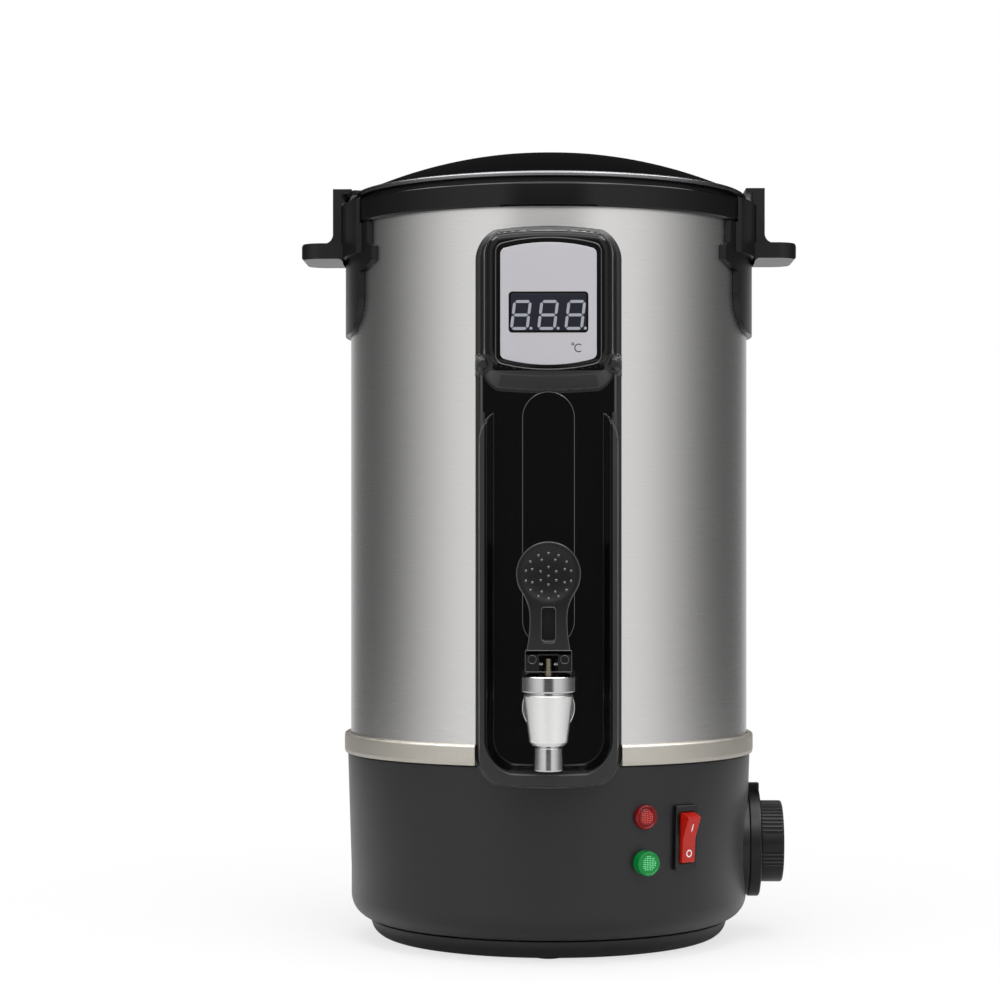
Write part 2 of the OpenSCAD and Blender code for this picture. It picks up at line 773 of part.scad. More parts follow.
module front_panel() {
    flange = 2.6;
    color([0.07, 0.07, 0.08]) difference() {
        union() {
            difference() {
                union() {
                    // Flange that hugs the shell
                    intersection() {
                        ring(shell_r - 5, shell_r + flange, panel_bottom - 5, panel_top + 5);
                        facing(-shell_r - 30, 0) bowed(panel_w, panel_bottom, panel_top, 13, 3);
                    }
                    // Side rails and the U-shaped foot
                    hull() {
                        facing(-panel_root - 0.2, -panel_root)
                            bowed(panel_w - 1, panel_bottom, rail_top + 8, 12, 2);
                        facing(-rail_face, -rail_face + 0.2)
                            bowed(panel_w - 5, panel_bottom + 1.5, rail_top, 11, 2);
                    }
                }
                // Bay between the rails
                hull() {
                    facing(-bay_back, -bay_back + 0.2)
                        bowed(bay_w - 3, panel_bottom + 9, hood_low - 9, 13, 1.5);
                    facing(-rail_face - 3, -rail_face - 2.8)
                        bowed(bay_w + 1, panel_bottom + 7, hood_low + 3, 14, 1.5);
                }
            }
            // Display hood
            hull() {
                facing(-panel_root - 0.2, -panel_root) bowed(hood_w + 6, hood_low - 12, panel_top - 1, 10, 2);
                facing(-bay_back - 1.2, -bay_back)
                    bowed(hood_w + 4, hood_low - 10, panel_top - 2, 10, 2);
                facing(-hood_face, -hood_face + 0.2) bowed(hood_w, hood_low, hood_top, 9, 2.5);
            }
            // Raised pad behind the tap
            facing(-bay_back - 0.6, -bay_back + 1) translate([0, (pad_low + pad_top) / 2])
                round_rect(pad_w, pad_top - pad_low, pad_w / 2 - 0.1);
        }
        // The back follows the shell, and stands clear of the base
        cylinder(h = 2 * shell_top, r = shell_r + seat);
        cylinder(h = base_top + 1, r = base_top_r + run);
        // Chamber for the display, and its window
        facing(-hood_face + hood_wall, -panel_root) translate([0, window_z])
            square([window_w + 6, window_h + 10], center = true);
        facing(-hood_face - 1, -panel_root) translate([0, window_z])
            square([window_w - 1.6, window_h - 1.6], center = true);
        // Seat for the label
        facing(-hood_face - 1, -hood_face + 0.4) label_outline(run);
        // Inlet of the tap
        translate([0, -panel_root, inlet_z]) rotate([90, 0, 0]) cylinder(h = 60, r = shank_r + 1);
        at_panel_screws() cylinder(h = panel_screw_l + 0.5, r = screw_r + fit, $fn = 24);
    }
}

module label_outline(grow) {
    bowed(label_w + 2 * grow, label_z - label_h / 2 - grow, label_z + label_h / 2 + grow, 3, 3.4);
}

module panel_screws() {
    color("silver") at_panel_screws() screw(panel_screw_l);
}

module display_label() {
    color([0.73, 0.72, 0.74]) difference() {
        facing(-hood_face - 0.3, -hood_face + 0.3) label_outline(0);
        facing(-hood_face - 2, -hood_face + 2) translate([0, window_z])
            round_rect(window_w + 0.2, window_h + 0.2, 1.6);
    }
}

module display_window() {
    color([0.16, 0.17, 0.24]) {
        facing(-hood_face - 0.5, -hood_face + 0.3) translate([0, window_z])
            round_rect(window_w, window_h, 1.5);
        facing(-hood_face + 0.2, -hood_face + hood_wall - 0.1) translate([0, window_z])
            square([window_w - 2, window_h - 2], center = true);
    }
}

module display_board() {
    color([0.1, 0.35, 0.2]) facing(-hood_face + hood_wall + 0.1, -hood_face + hood_wall + 8)
        translate([0, window_z]) square([window_w + 5.4, window_h + 9.4], center = true);
}

// ---------- tap ----------

module along_tap() { translate([0, -tap_out, 0]) children(); }

module tap_body() {
    color([0.83, 0.83, 0.82]) difference() {
        union() {
            along_tap() {
                translate([0, 0, cone_low]) cylinder(h = cone_h, r1 = cone_low_r, r2 = tap_r);
                translate([0, 0, tap_foot])
                    cylinder(h = cone_low - tap_foot + eps, r1 = cone_low_r - 1.6, r2 = cone_low_r);
            }
            // Inlet pipe, and the flange that bears on the panel
            translate([0, -tap_out + 6, inlet_z]) rotate([-90, 0, 0])
                cylinder(h = tap_out - 6 - pot_in + 9, r = shank_r);
            translate([0, -flange_y - 3, inlet_z]) rotate([-90, 0, 0]) cylinder(h = 3, r = shank_r + 5.5);
            translate([0, -flange_y - 7, inlet_z]) rotate([-90, 0, 0])
                cylinder(h = 4 + eps, r1 = shank_r, r2 = shank_r + 3);
        }
        along_tap() {
            translate([0, 0, seat_z]) cylinder(h = 60, r = chamber_r);
            translate([0, 0, tap_foot - 1]) cylinder(h = 40, r = spout_bore / 2);
        }
        translate([0, -tap_out, inlet_z]) rotate([-90, 0, 0]) cylinder(h = 60, r = shank_r - 3);
    }
}

module tap_spout() {
    top = tap_foot - neck_h;
    color([0.8, 0.8, 0.8]) along_tap() difference() {
        union() {
            translate([0, 0, top - spout_l + 0.8]) cylinder(h = spout_l - 0.8, r = spout_d / 2);
            translate([0, 0, top - spout_l])
                cylinder(h = 0.8 + eps, r1 = spout_d / 2 - 0.8, r2 = spout_d / 2);
            translate([0, 0, top - eps]) cylinder(h = neck_h + eps, r = spout_d / 2 - 1.2);
        }
        translate([0, 0, top - spout_l - 1]) cylinder(h = spout_l + 20, r = spout_bore / 2);
    }
}

module tap_collar() {
    edge = 0.7;
    color([0.6, 0.6, 0.6]) along_tap() difference() {
        union() {
            translate([0, 0, collar_low]) cylinder(h = edge + eps, r1 = collar_r - edge, r2 = collar_r);
            translate([0, 0, collar_low + edge]) cylinder(h = collar_h - 2 * edge, r = collar_r);
            translate([0, 0, collar_top - edge - eps])
                cylinder(h = edge + eps, r1 = collar_r, r2 = collar_r - edge);
            translate([0, 0, cone_top]) cylinder(h = collar_low - cone_top + eps, r = tap_r - 1);
            translate([0, 0, cone_top - 2]) cylinder(h = 2 + eps, r = chamber_r - fit);
        }
        translate([0, 0, cone_top - 5]) cylinder(h = 40, r = stem_r + fit);
    }
}

module tap_stem() {
    color([0.62, 0.6, 0.52]) along_tap() difference() {
        union() {
            translate([0, 0, seat_z + 1])
                cylinder(h = stem_top - stem_r - seat_z - 1, r = stem_r, $fn = 48);
            translate([0, 0, stem_top - stem_r]) sphere(stem_r, $fn = 48);
            translate([0, 0, seat_z + 5]) cylinder(h = 1.2, r = 6, $fn = 48);
        }
        translate([-10, 0, pin_z]) rotate([0, 90, 0]) cylinder(h = 20, r = pin_r + fit, $fn = 48);
    }
}

module tap_seal() {
    color([0.85, 0.4, 0.25]) along_tap() difference() {
        union() {
            translate([0, 0, seat_z + 0.2]) cylinder(h = 1.6, r1 = 6, r2 = chamber_r - 1);
            translate([0, 0, seat_z + 1.8 - eps]) cylinder(h = 3.2, r = chamber_r - 1);
        }
        translate([0, 0, seat_z + 0.7]) cylinder(h = 10, r = stem_r + fit, $fn = 48);
    }
}

// Points of the spring's wire: a helix swept with a six-sided section
module tap_spring() {
    wire = 0.5;
    coil = 4.4;
    turns = 4;
    steps = 20;
    z0 = seat_z + 6.2 + wire + 0.05;
    z1 = cone_top - 2 - wire - 0.05;
    sides = 6;
    count = turns * steps;
    points = [for (i = [0:count]) let (a = 360 * i / steps, z = z0 + (z1 - z0) * i / count)
        for (j = [0:sides - 1]) let (b = 360 * j / sides)
            [(coil + wire * cos(b)) * cos(a), (coil + wire * cos(b)) * sin(a), z + wire * sin(b)]];
    faces = concat([[for (j = [0:sides - 1]) j]],
        [for (i = [0:count - 1], j = [0:sides - 1]) let (k = (j + 1) % sides)
            for (t = [0, 1]) t == 0
                ? [i * sides + j, (i + 1) * sides + j, (i + 1) * sides + k]
                : [i * sides + j, (i + 1) * sides + k, i * sides + k]],
        [[for (j = [sides - 1:-1:0]) count * sides + j]]);
    color("silver") along_tap() polyhedron(points, faces);
}

module tap_washers() {
    color([0.8, 0.8, 0.78]) {
        translate([0, -flange_y, inlet_z]) rotate([-90, 0, 0]) difference() {
            cylinder(h = 1, r = shank_r + 5);
            translate([0, 0, -1]) cylinder(h = 4, r = shank_r + fit);
        }
        translate([0, -pot_in + 0.9, inlet_z]) rotate([-90, 0, 0]) difference() {
            cylinder(h = 2, r = shank_r + 4);
            translate([0, 0, -1]) cylinder(h = 4, r = shank_r + fit);
        }
    }
}

module tap_nut() {
    color("silver") translate([0, -pot_in + 2.9, inlet_z]) rotate([-90, 0, 0]) difference() {
        cylinder(h = 5, r = shank_r + 5, $fn = 6);
        translate([0, 0, -1]) cylinder(h = 8, r = shank_r + fit);
    }
}

// Side outline of the lever, in depth and height from its pin. The foot is an involute
// cam: its distance to the collar grows by cam_k for each radian that the lever turns.
module lever_side() {
    cam = [for (a = [0:4:lever_pull]) let (h = cam_drop + cam_k * a * PI / 180)
        [-h * sin(a) - cam_k * cos(a), -h * cos(a) + cam_k * sin(a)]];
    front = cam[len(cam) - 1][0];
    back = 7;
    rise = block_top - pin_z;
    steps = 10;
    // The neck's front and back lean in a shallow curve up to the tip
    up = [for (i = [0:steps]) let (s = i / steps, z = rise + 1 + (lever_l - rise - 1) * s)
        [front + 1.6 + 7 * s * (1.25 - s), z]];
    down = [for (i = [steps:-1:0]) let (s = i / steps, z = rise + 1 + (lever_l - rise - 1) * s)
        [back - 3 - 9 * s + 3.6 * s * s, z]];
    polygon(concat([[back, -cam_drop]], cam, [[front, rise]], up, down, [[back, rise]]));
}

// Front outline of the lever: hinge block, waisted neck and round paddle
module lever_front() {
    head_z = pin_z + lever_l - paddle_d / 2;
    waist_z = block_top + 14;
    foot = block_w / 2 - 0.5;
    offset(r = -5, $fn = 48) offset(delta = 5, $fn = 48) {
        translate([0, head_z]) circle(paddle_d / 2, $fn = 64);
        polygon([[-foot, block_top], [foot, block_top], [neck_w / 2, waist_z], [neck_w / 2, head_z],
            [-neck_w / 2, head_z], [-neck_w / 2, waist_z]]);
    }
}

module tap_lever() {
    low = pin_z - 20;
    color([0.13, 0.13, 0.14]) difference() {
        intersection() {
            translate([-lever_l / 2, -tap_out, pin_z]) rotate([90, 0, 90])
                linear_extrude(lever_l) lever_side();
            union() {
                facing(-tap_out - 40, -tap_out + 40) lever_front();
                translate([-block_w / 2, -tap_out - 40, low]) cube([block_w, 80, block_top - low]);
            }
        }
        // Slot for the stem
        translate([-slot_w / 2, -tap_out - 40, low]) cube([slot_w, 80, stem_top + 1 - low]);
        translate([-50, -tap_out, pin_z]) rotate([0, 90, 0]) cylinder(h = 100, r = pin_r + fit, $fn = 48);
    }
}

module lever_pin() {
    color("silver") translate([-block_w / 2 + 0.5, -tap_out, pin_z]) rotate([0, 90, 0])
        cylinder(h = block_w - 1, r = pin_r, $fn = 48);
}

// ---------- controls ----------

module thermostat() {
    face_x = socket_x - 6;
    color([0.75, 0.74, 0.7]) difference() {
        union() {
            translate([face_x - thermostat_t, -thermostat_w / 2, dial_z - thermostat_h / 2])
                cube([thermostat_t, thermostat_w, thermostat_h]);
            translate([face_x - eps, -5, dial_z - thermostat_h / 2 + 2]) cube([1.2, 10, thermostat_h - 4]);
            translate([face_x - eps, 0, dial_z]) rotate([0, 90, 0]) cylinder(h = 4, r = neck_r, $fn = 48);
        }
        translate([face_x - 10, 0, dial_z]) rotate([0, 90, 0]) cylinder(h = 40, r = shaft_r + fit, $fn = 48);
    }
}

module thermostat_shaft() {
    color("silver") translate([socket_x - 15, 0, dial_z]) rotate([0, 90, 0])
        cylinder(h = knob_out - 4 - socket_x + 15, r = shaft_r, $fn = 48);
}

module capillary_bulb() {
    tube = bulb_r / 3;
    bend = tube + 0.3;
    x = -24;
    z = heater_low - bulb_r;
    start = [x, 1 - bulb_l / 2, z];
    low = [x, -14 - bulb_l / 2, z - 12];
    turn = [socket_x - 43.7, -thermostat_w, dial_z + thermostat_h - 7];
    color([0.75, 0.45, 0.3]) {
        translate([x, -bulb_l / 2, z]) rotate([-90, 0, 0]) cylinder(h = bulb_l, r = bulb_r, $fn = 32);
        rod(start, low, tube);
        translate(low) sphere(bend, $fn = 24);
        rod(low, turn, tube);
        translate(turn) sphere(bend, $fn = 24);
        rod(turn, [socket_x - 16, -8, dial_z + thermostat_h / 2 - 1], tube);
    }
}

module dial_plate() {
    color([0.12, 0.12, 0.13]) difference() {
        union() {
            translate([base_low_r - 8, 0, dial_z]) rotate([0, 90, 0])
                cylinder(h = dial_face - 0.8 - base_low_r + 8, r = dial_plate_d / 2);
            translate([dial_face - 0.8 - eps, 0, dial_z]) rotate([0, 90, 0])
                cylinder(h = 0.8, r1 = dial_plate_d / 2, r2 = dial_plate_d / 2 - 0.8);
            // Pointer at the top edge
            translate([dial_face - 3.4, -2.5, dial_z + dial_plate_d / 2 - 1]) cube([3.4, 5, 3]);
        }
        // The back follows the base
        translate([0, 0, base_waist - 40]) cylinder(h = 40 + eps, r = base_low_r + seat);
        translate([0, 0, base_waist])
            cylinder(h = base_top - base_waist, r1 = base_low_r + seat, r2 = base_top_r + seat);
        translate([0, 0, base_waist - 40]) cylinder(h = 30, r = base_low_r + 4);
        translate([base_low_r - 20, 0, dial_z]) rotate([0, 90, 0]) cylinder(h = 60, r = shaft_d, $fn = 48);
    }
}

module thermostat_knob() {
    groove = 0.55;
    color([0.09, 0.09, 0.1]) translate([knob_in, 0, dial_z]) rotate([0, 90, 0]) difference() {
        union() {
            cylinder(h = knob_h - 1, r = knob_d / 2);
            translate([0, 0, knob_h - 1 - eps]) cylinder(h = 1, r1 = knob_d / 2, r2 = knob_d / 2 - 1);
        }
        for (i = [0:knob_ribs - 1]) if (i % 12 > 2) rotate([0, 0, i * 360 / knob_ribs])
            translate([knob_d / 2 + 0.1, 0, 1.5]) cylinder(h = knob_h, r = groove + 0.1, $fn = 16);
        translate([0, 0, -1]) cylinder(h = knob_h - 3, r = shaft_r + fit, $fn = 48);
        // Hole for the set screw, across the hub
        translate([0, 0, set_screw_x]) rotate([0, -90, 0])
            cylinder(h = shaft_r + 3, r = set_screw_r + fit, $fn = 24);
        // Hollow behind
        translate([0, 0, -1]) difference() {
            cylinder(h = knob_h - 3.5, r = knob_d / 2 - 3);
            cylinder(h = knob_h, r = shaft_r + 2.5, $fn = 48);
        }
    }
}

module knob_screw() {
    color("silver") translate([knob_in + set_screw_x, 0, dial_z + shaft_r + 0.1])
        cylinder(h = 2, r = set_screw_r, $fn = 24);
}

module power_switch() {
    frame_t = 2;
    wall = 1.6;
    case_t = 17;
    color([0.1, 0.1, 0.1]) on_wall(switch_turn, switch_z) translate([0, 0, 0.3]) difference() {
        union() {
            linear_extrude(frame_t) round_rect(switch_w, switch_h, 0.8);
            translate([-well_w / 2, -well_l / 2, -case_t]) cube([well_w, well_l, case_t + eps]);
            for (y = [-8, 0, 8]) translate([-3, y - 0.4, -case_t - 9]) cube([6, 0.8, 9.5]);
        }
        translate([-well_w / 2 + wall, -rocker_reach - run, -7])
            cube([well_w - 2 * wall, 2 * (rocker_reach + run), 20]);
    }
}

// The rocker in section: two flat halves meeting in a shallow valley, round ends
module rocker_side() {
    face = 5.2;
    intersection() {
        circle(rocker_reach, $fn = 96);
        polygon([[-rocker_reach - 1, -3.5], [rocker_reach + 1, -3.5], [rocker_reach + 1, face],
            [0, face - 2.2], [-rocker_reach - 1, face]]);
    }
}

module switch_rocker() {
    color([0.8, 0.1, 0.05]) on_wall(switch_turn, switch_z) translate([0, 0, rocker_axis])
        rotate([rock, 0, 0]) translate([-rocker_w / 2, 0, 0]) rotate([90, 0, 90])
            linear_extrude(rocker_w) rocker_side();
}

module lamp(head) {
    edge = 1.2;
    thread_l = 16;
    translate([0, 0, seat]) {
        cylinder(h = head - edge, r = lamp_d / 2, $fn = 64);
        translate([0, 0, head - edge - eps])
            cylinder(h = edge, r1 = lamp_d / 2, r2 = lamp_d / 2 - edge, $fn = 64);
        translate([0, 0, -thread_l]) cylinder(h = thread_l + eps, r = lamp_thread_r, $fn = 48);
    }
}

module red_lamp() { color([0.75, 0.1, 0.08]) on_wall(lamp_turn, red_z) lamp(2.8); }
module green_lamp() { color([0.1, 0.8, 0.3]) on_wall(lamp_turn, green_z) lamp(5.5); }

module lamp_nuts() {
    color([0.15, 0.15, 0.15]) for (z = [red_z, green_z])
        on_wall(lamp_turn, z) translate([0, 0, -base_wall - 4.5]) difference() {
            cylinder(h = 3.5, r = lamp_thread_r + 2.5, $fn = 6);
            translate([0, 0, -1]) cylinder(h = 8, r = lamp_thread_r + fit, $fn = 48);
        }
}

module terminal_block() {
    pitch = terminal_l / 3;
    color([0.9, 0.88, 0.82]) translate([-terminal_l / 2, base_low_r - base_wall - 24, terminal_z])
        difference() {
            cube([terminal_l, 16, 14]);
            for (i = [0:2]) translate([(i + 0.5) * pitch, 8, 4]) cylinder(h = 12, r = pitch / 4, $fn = 32);
        }
}

// Places what is drawn outwards along +Z onto the back of the base, at the cord's inlet
module at_cord_inlet() {
    rotate([0, 0, 180]) translate([0, -base_low_r, cord_z]) rotate([90, 0, 0]) children();
}

module cord_gland() {
    color([0.08, 0.08, 0.08]) at_cord_inlet() difference() {
        union() {
            translate([0, 0, -14]) cylinder(h = 14.5, r = gland_r, $fn = 48);
            translate([0, 0, 0.4]) cylinder(h = 3, r = gland_r + 2.6, $fn = 48);
            translate([0, 0, 3.4 - eps]) cylinder(h = 9, r1 = gland_r + 1.4, r2 = gland_r - 0.6, $fn = 48);
        }
        translate([0, 0, -20]) cylinder(h = 50, r = cord_d / 2, $fn = 48);
    }
}

module gland_nut() {
    color([0.12, 0.12, 0.12]) at_cord_inlet()
        translate([0, 0, -base_wall - 5.2]) difference() {
            cylinder(h = 4, r = gland_r + 3.5, $fn = 6);
            translate([0, 0, -1]) cylinder(h = 8, r = gland_r + fit, $fn = 48);
        }
}

outer_shell();
inner_pot();
top_rim();
trim_ring();
base_housing();
foot_ring();
rubber_feet();
base_plate();
base_screws();
heating_plate();
heating_element();
thermal_cutout();
temperature_probe();
left_handle();
right_handle();
handle_screws();
lid();
lid_gasket();
front_panel();
panel_screws();
display_label();
display_window();
display_board();
tap_body();
tap_spout();
tap_collar();
tap_stem();
tap_seal();
tap_spring();
tap_washers();
tap_nut();
tap_lever();
lever_pin();
thermostat();
thermostat_shaft();
capillary_bulb();
dial_plate();
thermostat_knob();
knob_screw();
power_switch();
switch_rocker();
red_lamp();
green_lamp();
lamp_nuts();
terminal_block();
cord_gland();
gland_nut();
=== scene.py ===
# %% [markdown]
# # An electric wax melter
# A tall urn of brushed stainless steel stands on a black moulded base. It has a black lid and
# two side handles, a glossy front panel with a temperature display, and a small lever tap.
# The exact model gives every piece its place. This file adds what the eye needs: rounded
# edges, gloss, brushed metal and printed marks. The first cell loads the exact model.

# %% Load the frame
import json
import math
import bmesh
import bpy
import numpy as np
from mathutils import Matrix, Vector


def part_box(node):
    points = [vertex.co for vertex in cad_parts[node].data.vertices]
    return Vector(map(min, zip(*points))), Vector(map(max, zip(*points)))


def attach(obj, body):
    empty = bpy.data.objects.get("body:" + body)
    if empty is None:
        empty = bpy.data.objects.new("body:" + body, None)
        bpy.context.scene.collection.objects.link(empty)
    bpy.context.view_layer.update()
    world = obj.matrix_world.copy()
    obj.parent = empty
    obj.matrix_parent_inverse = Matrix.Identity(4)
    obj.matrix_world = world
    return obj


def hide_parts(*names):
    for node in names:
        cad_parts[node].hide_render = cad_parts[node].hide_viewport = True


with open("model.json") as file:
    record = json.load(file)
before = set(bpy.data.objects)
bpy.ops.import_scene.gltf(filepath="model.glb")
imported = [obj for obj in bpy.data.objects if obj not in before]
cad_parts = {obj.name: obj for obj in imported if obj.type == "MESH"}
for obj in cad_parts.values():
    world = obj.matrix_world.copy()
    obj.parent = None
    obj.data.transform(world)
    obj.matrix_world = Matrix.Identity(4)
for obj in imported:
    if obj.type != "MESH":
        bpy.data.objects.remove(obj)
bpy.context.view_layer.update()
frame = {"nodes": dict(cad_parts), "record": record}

nodes = frame["nodes"]

# %% [markdown]
# Sizes come from the exact model, so a new surface sits where the solid is. Shapes are worked
# out in millimetres, because the real parts are drawn so, and turned to metres at the end.

# %% Sizes of the solids, in millimetres
def corners(node):
    """Lowest and highest corner of a node's box, in millimetres."""
    low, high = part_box(node)
    return np.array(low) * 1000, np.array(high) * 1000

shell_low, shell_high = corners("outer_shell")
SHELL_R, SHELL_TOP, SHELL_FOOT = shell_high[0], shell_high[2], shell_low[2]
rim_low, rim_high = corners("top_rim")
RIM_R, RIM_FOOT, RIM_TOP = rim_high[0], rim_low[2], rim_high[2]
panel_low, panel_high = corners("front_panel")
HOOD_FACE = -panel_low[1]
pin_low, pin_high = corners("lever_pin")
PIN_Y, PIN_Z = (pin_low[1] + pin_high[1]) / 2, (pin_low[2] + pin_high[2]) / 2
print("shell", round(SHELL_R, 1), "rim", round(RIM_R, 1), "hood", round(HOOD_FACE, 1),
      "pin", round(PIN_Y, 1), round(PIN_Z, 1))

# %% [markdown]
# The photograph was taken level with the middle of the urn, from 1.4 m, with a long lens.
# The camera repeats that: no tilt, a small turn, and a small upward shift of the picture.

# %% Camera
CAMERA_AT, CAMERA_TURN = (0, -1.378, 0.2087), math.radians(1.1)
FOCAL_LENGTH, SENSOR_WIDTH, SHIFT_UP = 90.9, 36, 0.0512

lens = bpy.data.cameras.new("camera")
lens.lens, lens.sensor_width, lens.shift_y = FOCAL_LENGTH, SENSOR_WIDTH, SHIFT_UP
camera = bpy.data.objects.new("camera", lens)
camera.location = CAMERA_AT
camera.rotation_euler = (math.radians(90), 0, CAMERA_TURN)
bpy.context.scene.collection.objects.link(camera)
bpy.context.scene.camera = camera
bpy.context.scene.view_settings.view_transform = "Standard"
print("camera", [round(v, 4) for v in camera.location])

# %% [markdown]
# Materials are node trees. One function adds a node and fills its sockets: a value is set, and
# another node's socket is linked. Colours are written as sRGB hex and turned to linear light.

# %% Colours and nodes
def rgb(code):
    """An sRGB hex colour as linear red, green, blue and alpha."""
    c = np.array([int(code[i:i + 2], 16) for i in (1, 3, 5)]) / 255
    linear = np.where(c <= 0.04045, c / 12.92, ((c + 0.055) / 1.055) ** 2.4)
    return (*linear.tolist(), 1.0)

def add(tree, kind, inputs=None, **settings):
    """Adds one node, sets its settings, and fills its inputs with values or links."""
    node = tree.nodes.new(kind)
    for name, value in settings.items():
        setattr(node, name, value)
    for socket, value in (inputs or {}).items():
        if isinstance(value, bpy.types.NodeSocket):
            tree.links.new(value, node.inputs[socket])
        else:
            node.inputs[socket].default_value = value
    return node

def maths(tree, operation, *values):
    """The result of one Math node on sockets or numbers."""
    return add(tree, "ShaderNodeMath", dict(enumerate(values)), operation=operation).outputs[0]

def ranged(tree, value, low, high, start=0.0, end=1.0):
    """Runs straight from low to high while the value goes from start to end."""
    return add(tree, "ShaderNodeMapRange", {"Value": value, "From Min": start, "From Max": end,
                                            "To Min": low, "To Max": high}).outputs[0]

def mix(tree, factor, under, over):
    """A colour between two. Each is a socket, an sRGB hex code or a plain grey level."""
    def color(value):
        if isinstance(value, str):
            return rgb(value)
        return (value, value, value, 1) if isinstance(value, float) else value
    return add(tree, "ShaderNodeMix", {0: factor, 6: color(under), 7: color(over)},
               data_type="RGBA").outputs[2]

print("a middle grey in linear light:", round(rgb("#808080")[0], 3))

# %% [markdown]
# Every surface starts as one Principled shader. Patterns are noise in object coordinates, with
# the grain in millimetres, and the same noise gives colour, roughness and a little relief.

# %% Surfaces and patterns
def surface(name, color, **sockets):
    """A material with one Principled shader whose plain values are set on its sockets."""
    material = bpy.data.materials.new(name)
    material.use_nodes = True
    tree = material.node_tree
    shader = tree.nodes["Principled BSDF"]
    shader.inputs["Base Color"].default_value = rgb(color)
    for socket, value in sockets.items():
        shader.inputs[socket.replace("_", " ")].default_value = value
    material.diffuse_color = rgb(color)
    return material, tree, shader

def noise(tree, grain, stretch=(1, 1, 1), detail=2.0):
    """Noise whose blobs are about grain millimetres across, stretched along some axes."""
    where = add(tree, "ShaderNodeTexCoord").outputs["Object"]
    scaled = add(tree, "ShaderNodeMapping", {"Vector": where,
                                             "Scale": tuple(1000 * s for s in stretch)})
    return add(tree, "ShaderNodeTexNoise", {"Vector": scaled.outputs[0], "Scale": 1 / grain,
                                            "Detail": detail}).outputs["Fac"]

def vary(tree, shader, socket, value):
    """Links a pattern to one of the shader's sockets."""
    tree.links.new(value, shader.inputs[socket])

def relief(tree, shader, height, depth):
    """Bump of a depth in millimetres on a shader."""
    node = add(tree, "ShaderNodeBump", {"Height": height, "Strength": 1.0,
                                        "Distance": depth / 1000})
    vary(tree, shader, "Normal", node.outputs[0])

print("materials so far:", len(bpy.data.materials))

# %% [markdown]
# **Stainless steel**: sheet rolled into a tube and brushed round it. The brush leaves lines
# that run round the tube, a few hundredths of a millimetre apart. They are drawn 0.3 mm apart
# so that the render can show them. They widen the reflection up and down and keep it soft.

# %% Metals
def brushed(name, color, light, rough, lines, stretch, depth):
    """Brushed metal: streaks of noise change the colour, roughness and relief a little."""
    material, tree, shader = surface(name, color, Metallic=1.0, Roughness=rough)
    streak = noise(tree, lines, stretch, 4.0)
    vary(tree, shader, "Base Color", mix(tree, streak, color, light))
    vary(tree, shader, "Roughness", ranged(tree, streak, rough - 0.02, rough + 0.02))
    relief(tree, shader, streak, depth)
    return material

def plated(name, light, dark, rough, grain, depth):
    """Plated or bare metal with a fine mottle."""
    material, tree, shader = surface(name, light, Metallic=1.0, Roughness=rough)
    mottle = noise(tree, grain)
    vary(tree, shader, "Base Color", mix(tree, mottle, dark, light))
    vary(tree, shader, "Roughness", ranged(tree, mottle, rough - 0.04, rough + 0.05))
    relief(tree, shader, mottle, depth)
    return material

steel = brushed("brushed stainless steel", "#c3c2c1", "#cac9c8", 0.28, 0.3, (0.01, 0.01, 1),
                0.0006)
pot_steel = brushed("brushed stainless steel, pot", "#bdbcbb", "#cccbca", 0.33, 0.5,
                    (0.04, 0.04, 1), 0.003)
nickel = plated("satin nickel plate", "#b6b2aa", "#aeaaa2", 0.5, 3.0, 0.004)
chrome = plated("chrome plate", "#bcbcbd", "#b2b2b3", 0.14, 6.0, 0.001)
satin_chrome = plated("satin chrome plate", "#dededd", "#d0d0cf", 0.33, 0.8, 0.006)
edge_steel = plated("polished steel edge band", "#767678", "#707072", 0.3, 2.0, 0.001)
brass = plated("nickelled brass", "#a7a08a", "#8d866f", 0.3, 1.2, 0.006)
zinc = plated("zinc-plated steel", "#b4b5b8", "#94969a", 0.36, 2.5, 0.01)
aluminium = plated("cast aluminium", "#b9babb", "#8f9092", 0.5, 1.5, 0.05)
oxide_steel = plated("heat-oxidised steel", "#6f6862", "#4c4440", 0.5, 4.0, 0.02)
copper = plated("drawn copper", "#c98257", "#9c5a3a", 0.32, 5.0, 0.01)
print("metals:", len(bpy.data.materials))

# %% [markdown]
# **Moulded plastics**: the lid, rim and panel are ABS from a polished mould, so they are
# glossy, with the slight waviness of a thin moulding. Handles, lever and knob come from a
# spark-eroded mould with a grain of about 0.1 mm, drawn at 0.35 mm, and look satin. Most black
# parts get a lower refractive index than real ABS, so they stay as dark as in the photograph.

# %% Plastics and rubber
WAVE_LENGTH = 45.0

def moulded(name, color, rough, grain, depth, wave=0.0, ior=1.5, **sockets):
    """Moulded plastic: fine grain in the relief, slow changes of roughness, and waviness."""
    material, tree, shader = surface(name, color, Roughness=rough, IOR=ior, **sockets)
    height = noise(tree, grain, detail=3.0)
    slow = noise(tree, WAVE_LENGTH)
    vary(tree, shader, "Roughness", ranged(tree, slow, rough * 0.85, rough * 1.15))
    if wave:
        height = maths(tree, "ADD", height, maths(tree, "MULTIPLY", slow, wave / depth))
    relief(tree, shader, height, depth)
    return material

